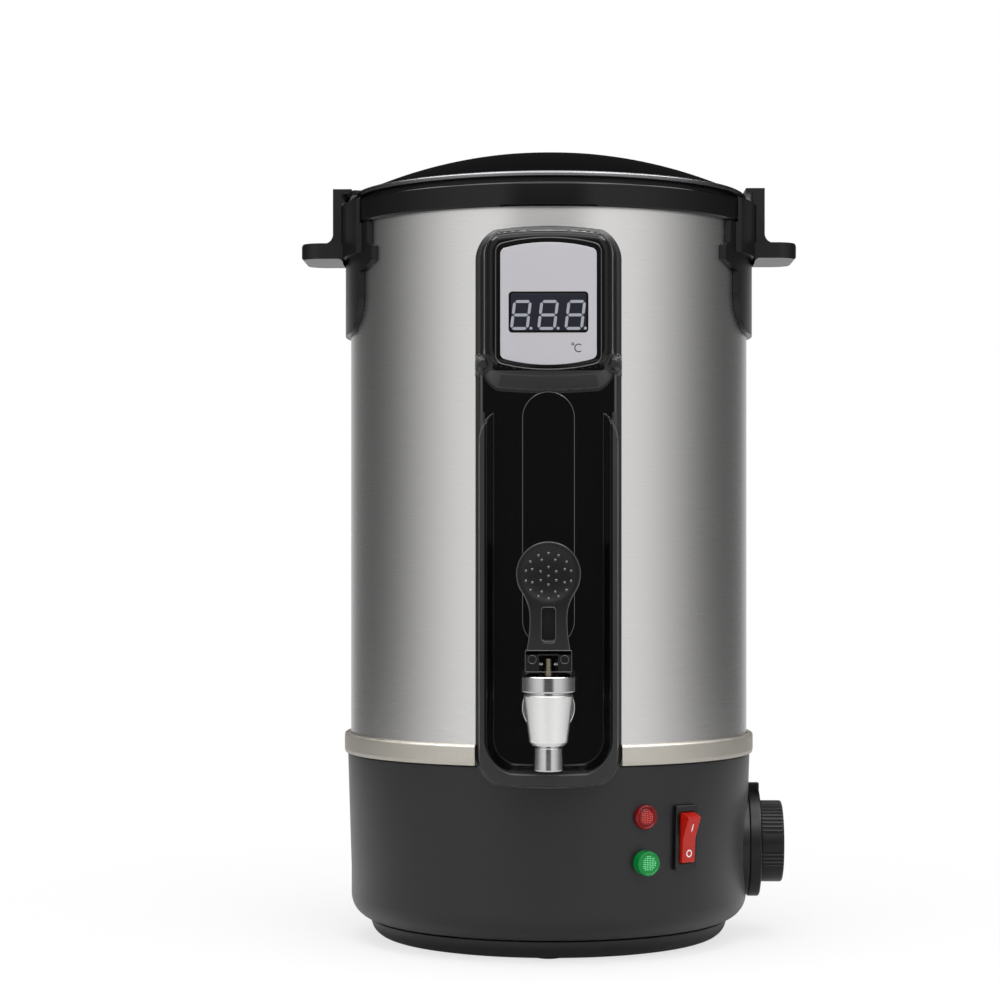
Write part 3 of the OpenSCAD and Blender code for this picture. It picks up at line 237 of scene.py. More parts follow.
gloss_black = moulded("gloss black ABS", "#0b0b0c", 0.1, 1.2, 0.0004, 0.006, 1.32)
panel_satin = moulded("satin panel ABS", "#1f1f1f", 0.34, 0.5, 0.004)
satin_black = moulded("satin black ABS", "#0a0a0a", 0.34, 0.35, 0.006, ior=1.34)
# A lighter black for fine lines, beads and dots: its light colour paints the highlight their edges
# would catch.
painted_highlight_black = moulded("black ABS lightened as painted edge highlight", "#343435", 0.2, 1.0, 0.0005, ior=1.7)
base_black = moulded("satin black base ABS", "#101013", 0.4, 0.4, 0.006, ior=1.42,
                     Sheen_Weight=0.1, Sheen_Roughness=0.4)
foot_black = moulded("satin black foot ABS", "#0c0c0d", 0.42, 0.4, 0.006, ior=1.42)
switch_black = moulded("black nylon", "#090909", 0.34, 0.5, 0.004, ior=1.4)
rubber = moulded("black rubber", "#1a1a1a", 0.75, 0.6, 0.03)
silicone = moulded("black silicone", "#0c0c0c", 0.55, 0.8, 0.01)
seal_red = moulded("red silicone", "#b2552f", 0.5, 0.8, 0.01)
ceramic = moulded("unglazed ceramic", "#d8d1c0", 0.7, 0.7, 0.03)
board = moulded("green solder mask", "#14532e", 0.35, 1.5, 0.01)
smoked = moulded("smoked acrylic", "#23242e", 0.1, 2.0, 0.0005)
silver_vinyl = moulded("silver vinyl", "#b3b1b6", 0.42, 0.4, 0.004, Metallic=0.25)
white_ink = moulded("white printing ink", "#e8e8e8", 0.5, 0.3, 0.004)
dark_ink = moulded("black printing ink", "#1b1b1d", 0.5, 0.3, 0.004)
segment_grey = moulded("unlit diffuser", "#9799a2", 0.4, 0.5, 0.004)
print("metals and plastics:", len(bpy.data.materials))

# %% [markdown]
# ** Clear coloured plastic**: the rocker and lamps are polycarbonate, tinted through. A small
# emission of their own colour is a painted glow in place of light that goes in and comes back
# coloured, so they glow a little against the black base.

# %% Tinted polycarbonate
def tinted(name, color, rough, glow):
    """Tinted clear plastic, a little see-through, with a painted glow of its own colour in place of
    light scattered back out of it.
    """
    material, tree, shader = surface(name, color, Roughness=rough, IOR=1.36,
                                     Transmission_Weight=0.1, Emission_Color=rgb(color),
                                     Emission_Strength=glow)
    cloud = noise(tree, 3.0)
    vary(tree, shader, "Roughness", ranged(tree, cloud, rough * 0.8, rough * 1.2))
    relief(tree, shader, cloud, 0.01)
    return material

rocker_red = tinted("red polycarbonate", "#b01a0c", 0.16, 0.1)
lens_red = tinted("red lamp polycarbonate", "#780204", 0.12, 0.04)
# The lamps' bumps: a lighter tint with more emission, a painted highlight and glow.
red_bumps_painted_glow = tinted("red lamp bumps, lightened with painted glow", "#e2564a", 0.12, 0.12)
lens_green = tinted("green lamp polycarbonate", "#007c34", 0.12, 0.14)
green_bumps_painted_glow = tinted("green lamp bumps, lightened with painted glow", "#7fe8a8", 0.12, 0.2)
print("materials:", len(bpy.data.materials))

# %% [markdown]
# Each node of the exact model gets its finish. Most of those that show from outside are
# covered by finer pieces further on. The rest, such as pot, pin and screws, stay as they are.

# %% Finishes of the solids
finishes = [
    (steel, "outer_shell"), (pot_steel, "inner_pot"), (nickel, "trim_ring temperature_probe"),
    (gloss_black, "top_rim lid front_panel"), (base_black, "base_housing"),
    (foot_black, "foot_ring"), (rubber, "rubber_feet"), (aluminium, "heating_plate"),
    (zinc, "base_plate base_screws handle_screws panel_screws tap_spring lever_pin "
           "thermostat thermostat_shaft knob_screw"),
    (oxide_steel, "heating_element"), (ceramic, "thermal_cutout terminal_block"),
    (satin_black, "left_handle right_handle tap_lever dial_plate thermostat_knob"),
    (silicone, "lid_gasket tap_washers"), (silver_vinyl, "display_label"),
    (smoked, "display_window"), (board, "display_board"), (satin_chrome, "tap_body"),
    (chrome, "tap_spout tap_collar tap_nut"), (brass, "tap_stem"), (seal_red, "tap_seal"),
    (copper, "capillary_bulb"), (rocker_red, "switch_rocker"), (lens_red, "red_lamp"),
    (lens_green, "green_lamp"), (switch_black, "power_switch lamp_nuts cord_gland gland_nut"),
]
finished = set()
for material, names in finishes:
    for name in names.split():
        nodes[name].data.materials.clear()
        nodes[name].data.materials.append(material)
        finished.add(name)
body_of = {node: body for body, members in frame["record"]["behaviour"]["bodies"].items()
           for node in members}
print("finished nodes:", len(finished), "bare:", sorted(set(nodes) - finished))

# %% [markdown]
# Every new piece is a set of patches: grids of points worked out at once, with four-sided
# faces between them. One function joins the patches, closes poles and seams by merging equal
# points, turns all faces outwards and puts the piece on its body.

# %% Grids and pieces
MERGE, SLIVER = 2e-6, 1e-7      # metres

def weave(grid, round_rows=False, round_cols=False):
    """Points of a grid [rows, cols, 3] and the four-sided faces between neighbours."""
    rows, cols = grid.shape[:2]
    i = np.arange(rows if round_rows else rows - 1)[:, None]
    j = np.arange(cols if round_cols else cols - 1)[None, :]
    down, right = (i + 1) % rows, (j + 1) % cols
    quads = np.stack([i * cols + j, i * cols + right, down * cols + right, down * cols + j], -1)
    return grid.reshape(-1, 3), quads.reshape(-1, 4)

def fan(loop):
    """A flat loop of points closed with triangles from its middle."""
    middle = np.repeat(loop.mean(0)[None], len(loop), 0)
    return weave(np.stack([loop, middle]), False, True)

def reworked(mesh, change):
    """Merges equal points, makes one more change, and shades every face smoothly."""
    work = bmesh.new()
    work.from_mesh(mesh)
    bmesh.ops.remove_doubles(work, verts=work.verts, dist=MERGE)
    change(work)
    for face in work.faces:
        face.smooth = True
    work.to_mesh(mesh)
    work.free()

def closed(work):
    """Drops empty faces and turns the others outwards."""
    bmesh.ops.dissolve_degenerate(work, edges=work.edges, dist=SLIVER)
    bmesh.ops.recalc_face_normals(work, faces=work.faces)

def piece(name, patches, stands_for, material, replace=True, sharp=32):
    """Makes one object from patches in millimetres, riding where the node stands_for rides."""
    points, quads, start = [], [], 0
    for verts, faces in patches:
        points.append(verts)
        quads.append(faces + start)
        start += len(verts)
    mesh = bpy.data.meshes.new(name)
    points, quads = np.vstack(points) / 1000, np.vstack(quads)
    mesh.vertices.add(len(points))
    mesh.vertices.foreach_set("co", points.astype(np.float32).ravel())
    mesh.loops.add(quads.size)
    mesh.loops.foreach_set("vertex_index", quads.astype(np.int32).ravel())
    mesh.polygons.add(len(quads))
    mesh.polygons.foreach_set("loop_start", np.arange(0, quads.size, 4, dtype=np.int32))
    mesh.update(calc_edges=True)
    reworked(mesh, closed)
    mesh.set_sharp_from_angle(angle=math.radians(sharp))
    mesh.materials.append(material)
    return settle(bpy.data.objects.new(name, mesh), stands_for, replace)

def settle(thing, stands_for, replace=True):
    """Puts a finished piece in the scene, on its node's body."""
    bpy.context.scene.collection.objects.link(thing)
    flat = thing.modifiers.new("flats stay flat", "WEIGHTED_NORMAL")
    flat.weight, flat.keep_sharp = 80, True
    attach(thing, body_of[stands_for])
    if replace:
        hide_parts(stands_for)
    print(thing.name, len(thing.data.polygons), "faces")
    return thing

# %% [markdown]
# Two helpers draw outlines: one gives points along an arc, the other rounds each corner of a
# polygon with an arc that touches both of its edges. A third turns an outline round the axis.

# %% Outlines and turning
def arc(cx, cy, r, start, end, steps):
    """Points on a circle about (cx, cy), from one angle to another, in degrees."""
    a = np.radians(np.linspace(start, end, steps + 1))
    return np.stack([cx + r * np.cos(a), cy + r * np.sin(a)], -1)

def circle(cx, cy, r, steps):
    """A closed circle of points."""
    return arc(cx, cy, r, 0, 360, steps)[:-1]

def rounded(outline, steps=6):
    """Closed outline from corners (x, y, r): each corner becomes an arc of radius r.
    The arc touches both edges at a distance r / tan(half the corner's angle)."""
    points = []
    count = len(outline)
    for k, (x, y, r) in enumerate(outline):
        here = np.array([x, y], float)
        a = np.array(outline[k - 1][:2]) - here
        b = np.array(outline[(k + 1) % count][:2]) - here
        a, b = a / np.linalg.norm(a), b / np.linalg.norm(b)
        half = math.acos(np.clip(a @ b, -1, 1)) / 2
        if r <= 0 or abs(half - math.pi / 2) < 1e-3:
            points.append(here[None])
            continue
        middle = here + (a + b) / np.linalg.norm(a + b) * r / math.sin(half)
        first, last = (here + side * r / math.tan(half) - middle for side in (a, b))
        t = math.atan2(first[1], first[0])
        turn = (math.atan2(last[1], last[0]) - t + math.pi) % (2 * math.pi) - math.pi
        angles = t + turn * np.linspace(0, 1, steps + 1)
        points.append(middle + r * np.stack([np.cos(angles), np.sin(angles)], -1))
    return np.vstack(points)

def turned(profile, steps=256, gap=0.0):
    """Turns a closed profile (r, z) about the axis: x = r sin a, y = -r cos a, with a from the
    front. A gap leaves out |x| < gap at the front, cut by planes, and closes both ends."""
    r, z = profile[:, :1], profile[:, 1:]
    open_at = np.arcsin(np.clip(gap / np.maximum(r, 1e-9), 0, 1)) if gap else 0 * r
    share = np.linspace(0, 1, steps + 1)[None, :]
    a = open_at + (2 * np.pi - 2 * open_at) * share
    grid = np.stack([r * np.sin(a), -r * np.cos(a), z + 0 * a], -1)
    if not gap:
        return [weave(grid[:, :-1], True, True)]
    return [weave(grid, True, False), fan(grid[:, 0]), fan(grid[:, -1])]

print("a square with round corners has", len(rounded([(0, 0, 1), (9, 0, 1), (9, 9, 1), (0, 9, 1)])),
      "points")

# %% [markdown]
# The shell, the rim band, the base and the trim ring are all turned. Real mouldings have no
# sharp edge: a radius of 0.5 to 1 mm catches a line of light. The base's wall leans in a
# little on its way down to the belly line, and curls under to the foot.

# %% Turned pieces
SHEET, JOINT = 1.0, 0.2         # the shell's wall, and the space of bands that go over it
shell_profile = rounded([
    (SHELL_R, SHELL_FOOT, 0.3), (SHELL_R, SHELL_TOP, 0.2),
    (SHELL_R - SHEET, SHELL_TOP, 0.2), (SHELL_R - SHEET, SHELL_FOOT, 0.3)], 2)
piece("shell_tube", turned(shell_profile), "outer_shell", steel)

RIM_IN, RIM_SEAT = 97.0, SHELL_TOP + 1.1
rim_profile = rounded([
    (SHELL_R + JOINT, RIM_FOOT, 0.2), (RIM_R - 0.9, RIM_FOOT, 0.4), (RIM_R, RIM_FOOT + 1.1, 0.6),
    (RIM_R, RIM_TOP, 1.4), (RIM_IN, RIM_TOP, 0.8), (RIM_IN, RIM_SEAT, 0.4),
    (SHELL_R + JOINT, RIM_SEAT, 0)], 7)
piece("rim_band", turned(rim_profile), "top_rim", gloss_black)

BASE_R, BASE_TOP, BASE_FOOT, BASE_WALL = corners("base_housing")[1][0], 100.0, 10.85, 2.5
BELLY_R, BELLY_Z, CURL_R, CURL_Z = BASE_R - 1.9, 38.0, 13.0, 23.8
SPIGOT_R, SPIGOT_IN, RECESS_R, RECESS_Z = SHELL_R - 1.2, SHELL_R - 5, 84, 14.5
base_profile = np.vstack([
    [[SPIGOT_IN, BASE_TOP - 3], [SPIGOT_IN, BASE_TOP + 6], [SPIGOT_R, BASE_TOP + 6],
     [SPIGOT_R, BASE_TOP]],
    arc(BASE_R - 0.8, BASE_TOP - 0.8, 0.8, 90, 0, 5),
    [[BELLY_R + 0.4, 50.0], [BELLY_R, BELLY_Z]],
    arc(BELLY_R - CURL_R, CURL_Z, CURL_R, 0, -89, 18),
    [[BELLY_R - CURL_R - 0.4, BASE_FOOT], [RECESS_R, BASE_FOOT], [RECESS_R, RECESS_Z],
     [RECESS_R + 12, RECESS_Z]],
    arc(BELLY_R - CURL_R, CURL_Z, CURL_R - BASE_WALL, -60, 0, 8),
    [[BASE_R - BASE_WALL, BASE_TOP - 3]]])
piece("base_moulding", turned(base_profile), "base_housing", base_black)

trim_low, trim_high = corners("trim_ring")
TRIM_R, TRIM_LOW, TRIM_TOP, TRIM_GAP = trim_high[0], trim_low[2], trim_high[2], 37.3
trim_profile = rounded([
    (SHELL_R + JOINT, TRIM_LOW, 0.1), (TRIM_R - 0.4, TRIM_LOW, 0.5), (TRIM_R, TRIM_LOW + 2, 2),
    (TRIM_R, TRIM_TOP, 1.6), (SHELL_R + JOINT, TRIM_TOP - 0.6, 0.1)], 6)
piece("trim_band", turned(trim_profile, gap=TRIM_GAP), "trim_ring", nickel)

# %% [markdown]
# **The front panel** is one glossy moulding: a flange that hugs the shell, a display hood, two
# side rails and a bay for the tap. Its depth can be given for each point of the front view,
# so it is worked out as a height field. Each form is a slope between two outlines, and where
# two forms meet, a smooth smaller-of or larger-of rounds the edge.

# %% Slopes and round meetings
def inside(x, z, width, low, high, corner, bow):
    """How far a point lies inside an outline with round corners and bowed ends: the least of
    the distance to a rounded rectangle and to the two large circles that bow its ends."""
    qx = np.abs(x) - width / 2 + corner
    qz = np.abs(z - (low + high) / 2) - (high - low) / 2 + corner
    beyond = np.hypot(np.maximum(qx, 0), np.maximum(qz, 0))
    box = corner - beyond - np.minimum(np.maximum(qx, qz), 0)
    reach = (width ** 2 / 4 + bow ** 2) / (2 * bow)
    top = reach - np.hypot(x, z - high + reach)
    return np.minimum(box, np.minimum(top, reach - np.hypot(x, z - low - reach)))

def lower(a, b, soft):
    """The smaller of a and b, with the edge where they meet rounded over a width soft."""
    h = np.clip(0.5 + 0.5 * (b - a) / soft, 0, 1)
    return b + (a - b) * h - soft * h * (1 - h)

def higher(a, b, soft):
    """The larger of a and b, rounded in the same way."""
    return -lower(-a, -b, soft)

def slope(back, front, depth_back, depth_front):
    """Depth that runs from depth_back at one outline to depth_front at the other."""
    return depth_back + (depth_front - depth_back) * back / np.maximum(back - front, 0.25)

def quarter(edge, r):
    """How far a rounding of radius r drops at a distance inside its edge."""
    near = np.clip(1 - edge / r, 0, 1)
    return 1 - np.sqrt(1 - near ** 2)

print("two equal heights meet lower by a quarter of the softness:", lower(5.0, 5.0, 2.0))

# %% [markdown]
# Each outline of the panel is (width, lowest, highest, corner radius, bow of the ends). The
# rails rise from their foot to their edge, the bay sinks from its edge to its floor, and the
# hood rises from a foot that slopes down to the bay as a chin. Two small covers hide the tips
# of the upper screws, which break out of the hood's sloping side in the exact model.

# %% Outlines and depths of the panel
PANEL_W, PANEL_LOW, PANEL_TOP = 2 * panel_high[0], panel_low[2], panel_high[2]
HOOD_TOP = PANEL_TOP - 3.7
HOOD_LOW = HOOD_TOP - 69.3
RAIL_TOP = HOOD_LOW - 21
RAIL_SIDE, RAIL_FACE, BAY_BACK = 80, HOOD_FACE - 2, HOOD_FACE - 11
FLANGE_R, HIDDEN_R, FALL = SHELL_R + 2.6, SHELL_R - 4.5, 14
FLANGE_EDGE = (PANEL_W, PANEL_LOW, PANEL_TOP, 17, 3)
RAIL_FOOT = (PANEL_W - 1, PANEL_LOW, RAIL_TOP + 8, 17, 2)
RAIL_EDGE = (PANEL_W - 5, PANEL_LOW + 2.5, RAIL_TOP, 15, 2)
BAY_FLOOR = (56, PANEL_LOW + 12, HOOD_LOW - 9, 14, 1.5)
BAY_EDGE = (61, PANEL_LOW + 8.5, HOOD_LOW + 4, 16, 1.5)
HOOD_FOOT = (66, HOOD_LOW - 10.5, PANEL_TOP - 2.6, 13, 2)
HOOD_EDGE = (62, HOOD_LOW, HOOD_TOP, 11, 2.5)
SATIN_EDGE = (PANEL_W - 10, PANEL_LOW + 10, HOOD_LOW, 16, 1.5)
FLANGE_ROLL, FLANGE_DROP, HOOD_ROUND, HOOD_SIDE, SIDE_W = 4.5, 2.2, 3.6, 33, 2
SCREW_TIP = -corners("panel_screws")[0][1]
SCREW_X, SCREW_Z, COVER_R, COVER = PANEL_W / 2 - 4.5, HOOD_LOW + 3, 2.2, 0.3

def panel_depths(x, z):
    """Distances in front of the axis, for points of the front view: of the whole face, and of
    the flange alone. Outside its outline the panel falls back until it is under the shell."""
    shell = lambda r: np.sqrt(np.maximum(r ** 2 - x ** 2, 1))
    edge = inside(x, z, *FLANGE_EDGE)
    outside = np.minimum(edge, 0) * FALL
    flange = shell(FLANGE_R) - FLANGE_DROP * quarter(edge, FLANGE_ROLL) + outside
    rails = slope(inside(x, z, *RAIL_FOOT), inside(x, z, *RAIL_EDGE), RAIL_SIDE, RAIL_FACE)
    rails = lower(rails, RAIL_FACE + 0 * x, 2.6)
    bay = -slope(-inside(x, z, *BAY_FLOOR), -inside(x, z, *BAY_EDGE), -BAY_BACK, -RAIL_FACE)
    bay = higher(bay, BAY_BACK + 0 * x, 2.2)
    side = (HOOD_SIDE - np.abs(x)) / SIDE_W
    plate_back = np.where((z > RAIL_TOP - 25) & (z < HOOD_LOW + 5),
                          BAY_BACK - 7 * np.maximum(-side, 0), 0)
    body = np.maximum(lower(rails, bay, 2.0), plate_back)
    hood_edge = inside(x, z, *HOOD_EDGE)
    hood = slope(inside(x, z, *HOOD_FOOT), hood_edge, BAY_BACK, HOOD_FACE)
    hood = np.minimum(hood, BAY_BACK + (HOOD_FACE - BAY_BACK) * side)
    hood = np.minimum(hood, HOOD_FACE - HOOD_ROUND * quarter(hood_edge, HOOD_ROUND))
    depth = higher(higher(body, hood, 1.4), flange, 0.8)
    from_screw = np.hypot(np.abs(x) - SCREW_X, z - SCREW_Z)
    depth = higher(depth, SCREW_TIP + COVER - 3 * np.maximum(from_screw - COVER_R, 0), 0.6)
    depth = np.minimum(depth, shell(FLANGE_R) + np.maximum(edge, 0) * 10 + outside)
    return np.maximum(depth, shell(HIDDEN_R)), flange

print("panel", round(PANEL_W, 1), "wide, hood from", round(HOOD_LOW, 1), "to", round(HOOD_TOP, 1))

# %% [markdown]
# The grid of the panel is fine where its depth changes and coarse on the straight stretches.
# Faces of the flange, the chin and the foot get the satin finish, and the covers a matt one.

# %% Front panel
FINE = 0.35

def stations(*spans):
    """Joins stretches (start, end, spacing) into one list of positions."""
    parts = [np.linspace(a, b, max(1, round((b - a) / s)), endpoint=False) for a, b, s in spans]
    return np.concatenate(parts + [[spans[-1][1]]])

half = stations((0, 9, 1.8), (9, 20, 0.5), (20, PANEL_W / 2 + 1, 0.3))
across = np.concatenate([-half[:0:-1], half])
along = stations((PANEL_LOW - 1, PANEL_LOW + 26, FINE), (PANEL_LOW + 26, RAIL_TOP - 14, 4),
                 (RAIL_TOP - 14, HOOD_LOW + 12, FINE), (HOOD_LOW + 12, HOOD_TOP - 14, 2.2),
                 (HOOD_TOP - 14, PANEL_TOP + 1, FINE))
X, Z = np.meshgrid(across, along)
front_skin = np.stack([X, -panel_depths(X, Z)[0], Z], -1)
back_skin = np.stack([X, -np.sqrt((HIDDEN_R - 1) ** 2 - X ** 2), Z], -1)
edges = [weave(np.stack([front_skin[s], back_skin[s]])) for s in (0, -1)]
edges += [weave(np.stack([front_skin[:, s], back_skin[:, s]])) for s in (0, -1)]
panel = piece("panel_moulding", [weave(front_skin), weave(back_skin)] + edges, "front_panel",
              gloss_black, sharp=60)
panel.data.materials.append(panel_satin)
panel.data.materials.append(foot_black)
middles = np.empty(3 * len(panel.data.polygons))
panel.data.polygons.foreach_get("center", middles)
x, _, z = middles.reshape(-1, 3).T * 1000
whole, flange = panel_depths(x, z)
chin = ((z > HOOD_LOW - 11) & (z < HOOD_LOW - 0.5) & (whole > BAY_BACK + 0.6)
        & (np.abs(x) < HOOD_SIDE - 1))
foot = (z < RAIL_TOP) & (inside(x, z, *SATIN_EDGE) < 0)
satin = (whole - flange < 0.6) | chin | foot
matt = np.hypot(np.abs(x) - SCREW_X, z - SCREW_Z) < 5
panel.data.polygons.foreach_set("material_index", np.where(matt, 2, satin).astype(np.int32))

# %% [markdown]
# Plates, keys and levers share one shape: a closed outline with a thickness and a rounded
# edge. The surface starts on a middle line at the back, runs out to the edge, round it, and
# back over the front to the middle line, so it closes without a flat cap. Fine lines are a
# small round section that runs along an outline.

# %% Plates with rounded edges, and fine lines
def outward(loop):
    """Unit normals of a closed outline (u, v), outwards where it runs counter-clockwise."""
    along = np.roll(loop, -1, 0) - np.roll(loop, 1, 0)
    return np.stack([along[:, 1], -along[:, 0]], -1) / np.linalg.norm(along, axis=1)[:, None]

def slab(outline, low, high, edge=0.5, spine=None, steps=4, rings=4):
    """Grid of a plate (u, v, w). At the edge, an angle a from -90 to 90 degrees gives an inset
    edge * (1 - cos a) from the outline. Inside, points run straight to the middle line. The
    back and front are heights, or functions of (u, v)."""
    nxt = np.roll(outline, -1, 0)
    area = np.sum(outline[:, 0] * nxt[:, 1] - nxt[:, 0] * outline[:, 1])
    out = outward(outline) * (-1 if area < 0 else 1)
    if spine is None:
        spine = (outline.mean(0)[0], outline.mean(0)[1], outline.mean(0)[1])
    core = outline - out * edge
    middle = np.stack([np.full(len(core), spine[0]), np.clip(core[:, 1], *spine[1:])], -1)
    height = lambda f, p: f(p[:, 0], p[:, 1]) if callable(f) else np.full(len(p), float(f))
    ring = lambda flat, f, rise: np.column_stack([flat, height(f, flat) + rise])
    rows = [ring(core + (middle - core) * t, low, 0)
            for t in np.linspace(1, 0, rings, endpoint=False)]
    for f, start, lift in ((low, -90, edge), (high, 0, -edge)):
        for a in np.radians(np.linspace(start, start + 90, steps + 1)):
            rows.append(ring(outline - out * edge * (1 - math.cos(a)), f,
                             lift + edge * math.sin(a)))
    rows += [ring(core + (middle - core) * t, high, 0) for t in np.linspace(0, 1, rings + 1)[1:]]
    return np.stack(rows)

def swept(loop, section):
    """Carries a small closed section (outward, w) along a closed flat outline (u, v)."""
    flat = loop[:, None, :] + outward(loop)[:, None, :] * section[None, :, :1]
    w = np.broadcast_to(section[None, :, 1:], flat.shape[:2] + (1,))
    return np.concatenate([flat, w], -1)

def facing(grid):
    """Places (u, v, w) on the front: x = u, z = v, and w is the distance before the axis."""
    return np.stack([grid[..., 0], -grid[..., 2], grid[..., 1]], -1)

def sideways(grid):
    """Places (u, v, w) as seen from the side: y = u, z = v, x = w."""
    return np.stack([grid[..., 2], grid[..., 0], grid[..., 1]], -1)

def plate(place_on, grid):
    """A slab's grid, placed, as a patch."""
    return weave(place_on(grid), False, True)

def fine_line(loop, w, r, steps=8):
    """A round line of radius r along an outline on the front."""
    return weave(facing(swept(loop, circle(0, w, r, steps))), True, True)

def box_loop(width, height, r, middle=(0, 0), steps=6):
    """Outline of a rectangle with round corners."""
    a, b = width / 2, height / 2
    return rounded([(-a, -b, r), (a, -b, r), (a, b, r), (-a, b, r)], steps) + np.array(middle)

def bowed_loop(width, low, high, corner, bow, steps=20):
    """Outline with round corners and ends bowed by a large circle through the corners."""
    reach = (width ** 2 / 4 + bow ** 2) / (2 * bow)
    x = np.linspace(-1, 1, steps) * (width / 2 - 1.7 * corner)
    rise = np.sqrt(reach ** 2 - x ** 2) - reach
    ends = [(-width / 2, low + bow, corner)] + [(a, low - b, 0) for a, b in zip(x, rise)]
    ends += [(width / 2, low + bow, corner), (width / 2, high - bow, corner)]
    ends += [(a, high + b, 0) for a, b in zip(x[::-1], rise[::-1])]
    return rounded(ends + [(-width / 2, high - bow, corner)], 6)

print("a plate's grid:", slab(box_loop(10, 10, 1), 0, 2).shape)

# %% [markdown]
# The silver label, the smoked window and a thin bead round them sit on the hood. In the bay,
# a long flat pad lies behind the lever, with a fine line round it. The bead and the line are a
# lighter black, a painted highlight along their edges.

# %% Label, window and pad
LABEL_W, LABEL_H, LABEL_Z = 48.0, 61.0, (HOOD_TOP + HOOD_LOW) / 2 - 2.2
LABEL_LOW, LABEL_TOP, BEAD = LABEL_Z - LABEL_H / 2, LABEL_Z + LABEL_H / 2, 2.3
WINDOW_Z = LABEL_Z - 4.3
PAD_W, PAD_LOW, PAD_TOP = 26.0, 161.0, HOOD_LOW - 10.9
label_face, window_face = (-corners(node)[0][1] for node in ("display_label", "display_window"))

def front_plate(name, loop, low, high, edge, spine, stands_for, material, replace=True):
    """A plate on the front, as a piece. Its middle line is upright, from spine to spine."""
    grid = slab(loop, low, high, edge, (0, *spine))
    return piece(name, [plate(facing, grid)], stands_for, material, replace)

front_plate("label", bowed_loop(LABEL_W, LABEL_LOW, LABEL_TOP, 3, 3.4), HOOD_FACE - 0.4,
            label_face, 0.25, (LABEL_Z - 20, LABEL_Z + 20), "display_label", silver_vinyl)
bead_loop = bowed_loop(LABEL_W + 2 * BEAD, LABEL_LOW - BEAD, LABEL_TOP + BEAD, 4.6, 3.5)
piece("label_bead", [fine_line(bead_loop, HOOD_FACE, 0.3, 12)], "front_panel", painted_highlight_black,
      replace=False)
front_plate("window_border", box_loop(39.8, 20.6, 1.9, (0, WINDOW_Z)), HOOD_FACE - 0.3,
            window_face - 0.05, 0.3, (WINDOW_Z, WINDOW_Z), "display_window", gloss_black)
front_plate("window_pane", box_loop(37.4, 18.2, 0.9, (0, WINDOW_Z)), HOOD_FACE - 0.2,
            window_face + 0.02, 0.1, (WINDOW_Z, WINDOW_Z), "display_window", smoked, False)
pad_loop = box_loop(PAD_W, PAD_TOP - PAD_LOW, PAD_W / 2 - 0.05, (0, (PAD_TOP + PAD_LOW) / 2), 20)
front_plate("bay_pad", pad_loop, BAY_BACK - 0.5, BAY_BACK + 0.25, 0.2,
            (PAD_LOW + PAD_W / 2, PAD_TOP - PAD_W / 2), "front_panel", gloss_black, False)
piece("pad_highlight_line", [fine_line(pad_loop, BAY_BACK + 0.15, 0.22)], "front_panel", painted_highlight_black,
      replace=False)

# %% [markdown]
# Behind the window are three unlit figures of seven segments. They lean to the right, as such
# displays do. The degree sign below is printed: a flat ribbon of ink along a path.

# %% Figures and degree sign
HALF_W, HALF_H, GAP, STROKE, PITCH = 3.9, 6.7, 0.3, 1.45, 13.5
SIGN_X, SIGN_Z = 13.6, LABEL_Z - 22.2

def bar(ax, az, bx, bz, width, lean=0.12):
    """Outline of one segment: a bar from a to b with pointed ends, leaned to the right."""
    a, b = np.array([ax, az]), np.array([bx, bz])
    d = (b - a) / np.linalg.norm(b - a)
    n = np.array([-d[1], d[0]]) * width / 2
    tip = d * width / 2
    loop = np.array([a, a + tip - n, b - tip - n, b, b - tip + n, a + tip + n])
    loop[:, 0] += lean * loop[:, 1]
    return loop

def segment(loop):
    """A thin plate in the window."""
    return plate(facing, slab(loop, window_face - 0.1, window_face + 0.06, 0.05, steps=1, rings=1))

lines = [(-HALF_W + GAP, v, HALF_W - GAP, v) for v in (HALF_H, 0, -HALF_H)]
lines += [(s * HALF_W, t * GAP, s * HALF_W, t * (HALF_H - GAP))
          for s in (-1, 1) for t in (-1, 1)]
figures = []
for place_x in (-PITCH, 0, PITCH):
    at = np.array([place_x - 0.2, WINDOW_Z - 1.5])
    figures += [segment(bar(*line, STROKE) + at) for line in lines]
    figures.append(segment(circle(at[0] + HALF_W + 1.1, at[1] - HALF_H + 0.1, 0.75, 16)))
piece("figures", figures, "display_window", segment_grey, replace=False)

def ribbon(path, width, low, high):
    """A flat printed stroke of some width along a path (u, v), as a grid of four edges."""
    along = np.gradient(path, axis=0)
    side = np.stack([-along[:, 1], along[:, 0]], -1) * width / 2
    side /= np.linalg.norm(along, axis=1)[:, None]
    edges = [(path + side, low), (path + side, high), (path - side, high), (path - side, low)]
    return np.stack([np.column_stack([p, np.full(len(p), w)]) for p, w in edges], 1)

def strokes(place_on, *grids):
    """Placed strokes, each closed at both ends."""
    patches = []
    for grid in map(place_on, grids):
        patches += [weave(grid, False, True), fan(grid[0]), fan(grid[-1])]
    return patches

ink = (label_face - 0.1, label_face + 0.03)
letter = ribbon(arc(SIGN_X + 1.4, SIGN_Z, 1.9, 50, 310, 24), 0.55, *ink)
ring = ribbon(arc(SIGN_X - 1.5, SIGN_Z + 2.0, 0.55, 0, 360, 16), 0.45, *ink)
piece("degree_sign", strokes(facing, letter, ring), "display_label", dark_ink, replace=False)

# %% [markdown]
# **The lever** is moulded in one. Its upper part is a thin round paddle for the thumb on a
# waisted neck with a slot. The outline joins the paddle's circle and the waist's circle where
# they touch. The front is a shallow curve, dished in the paddle, and the back is straighter.

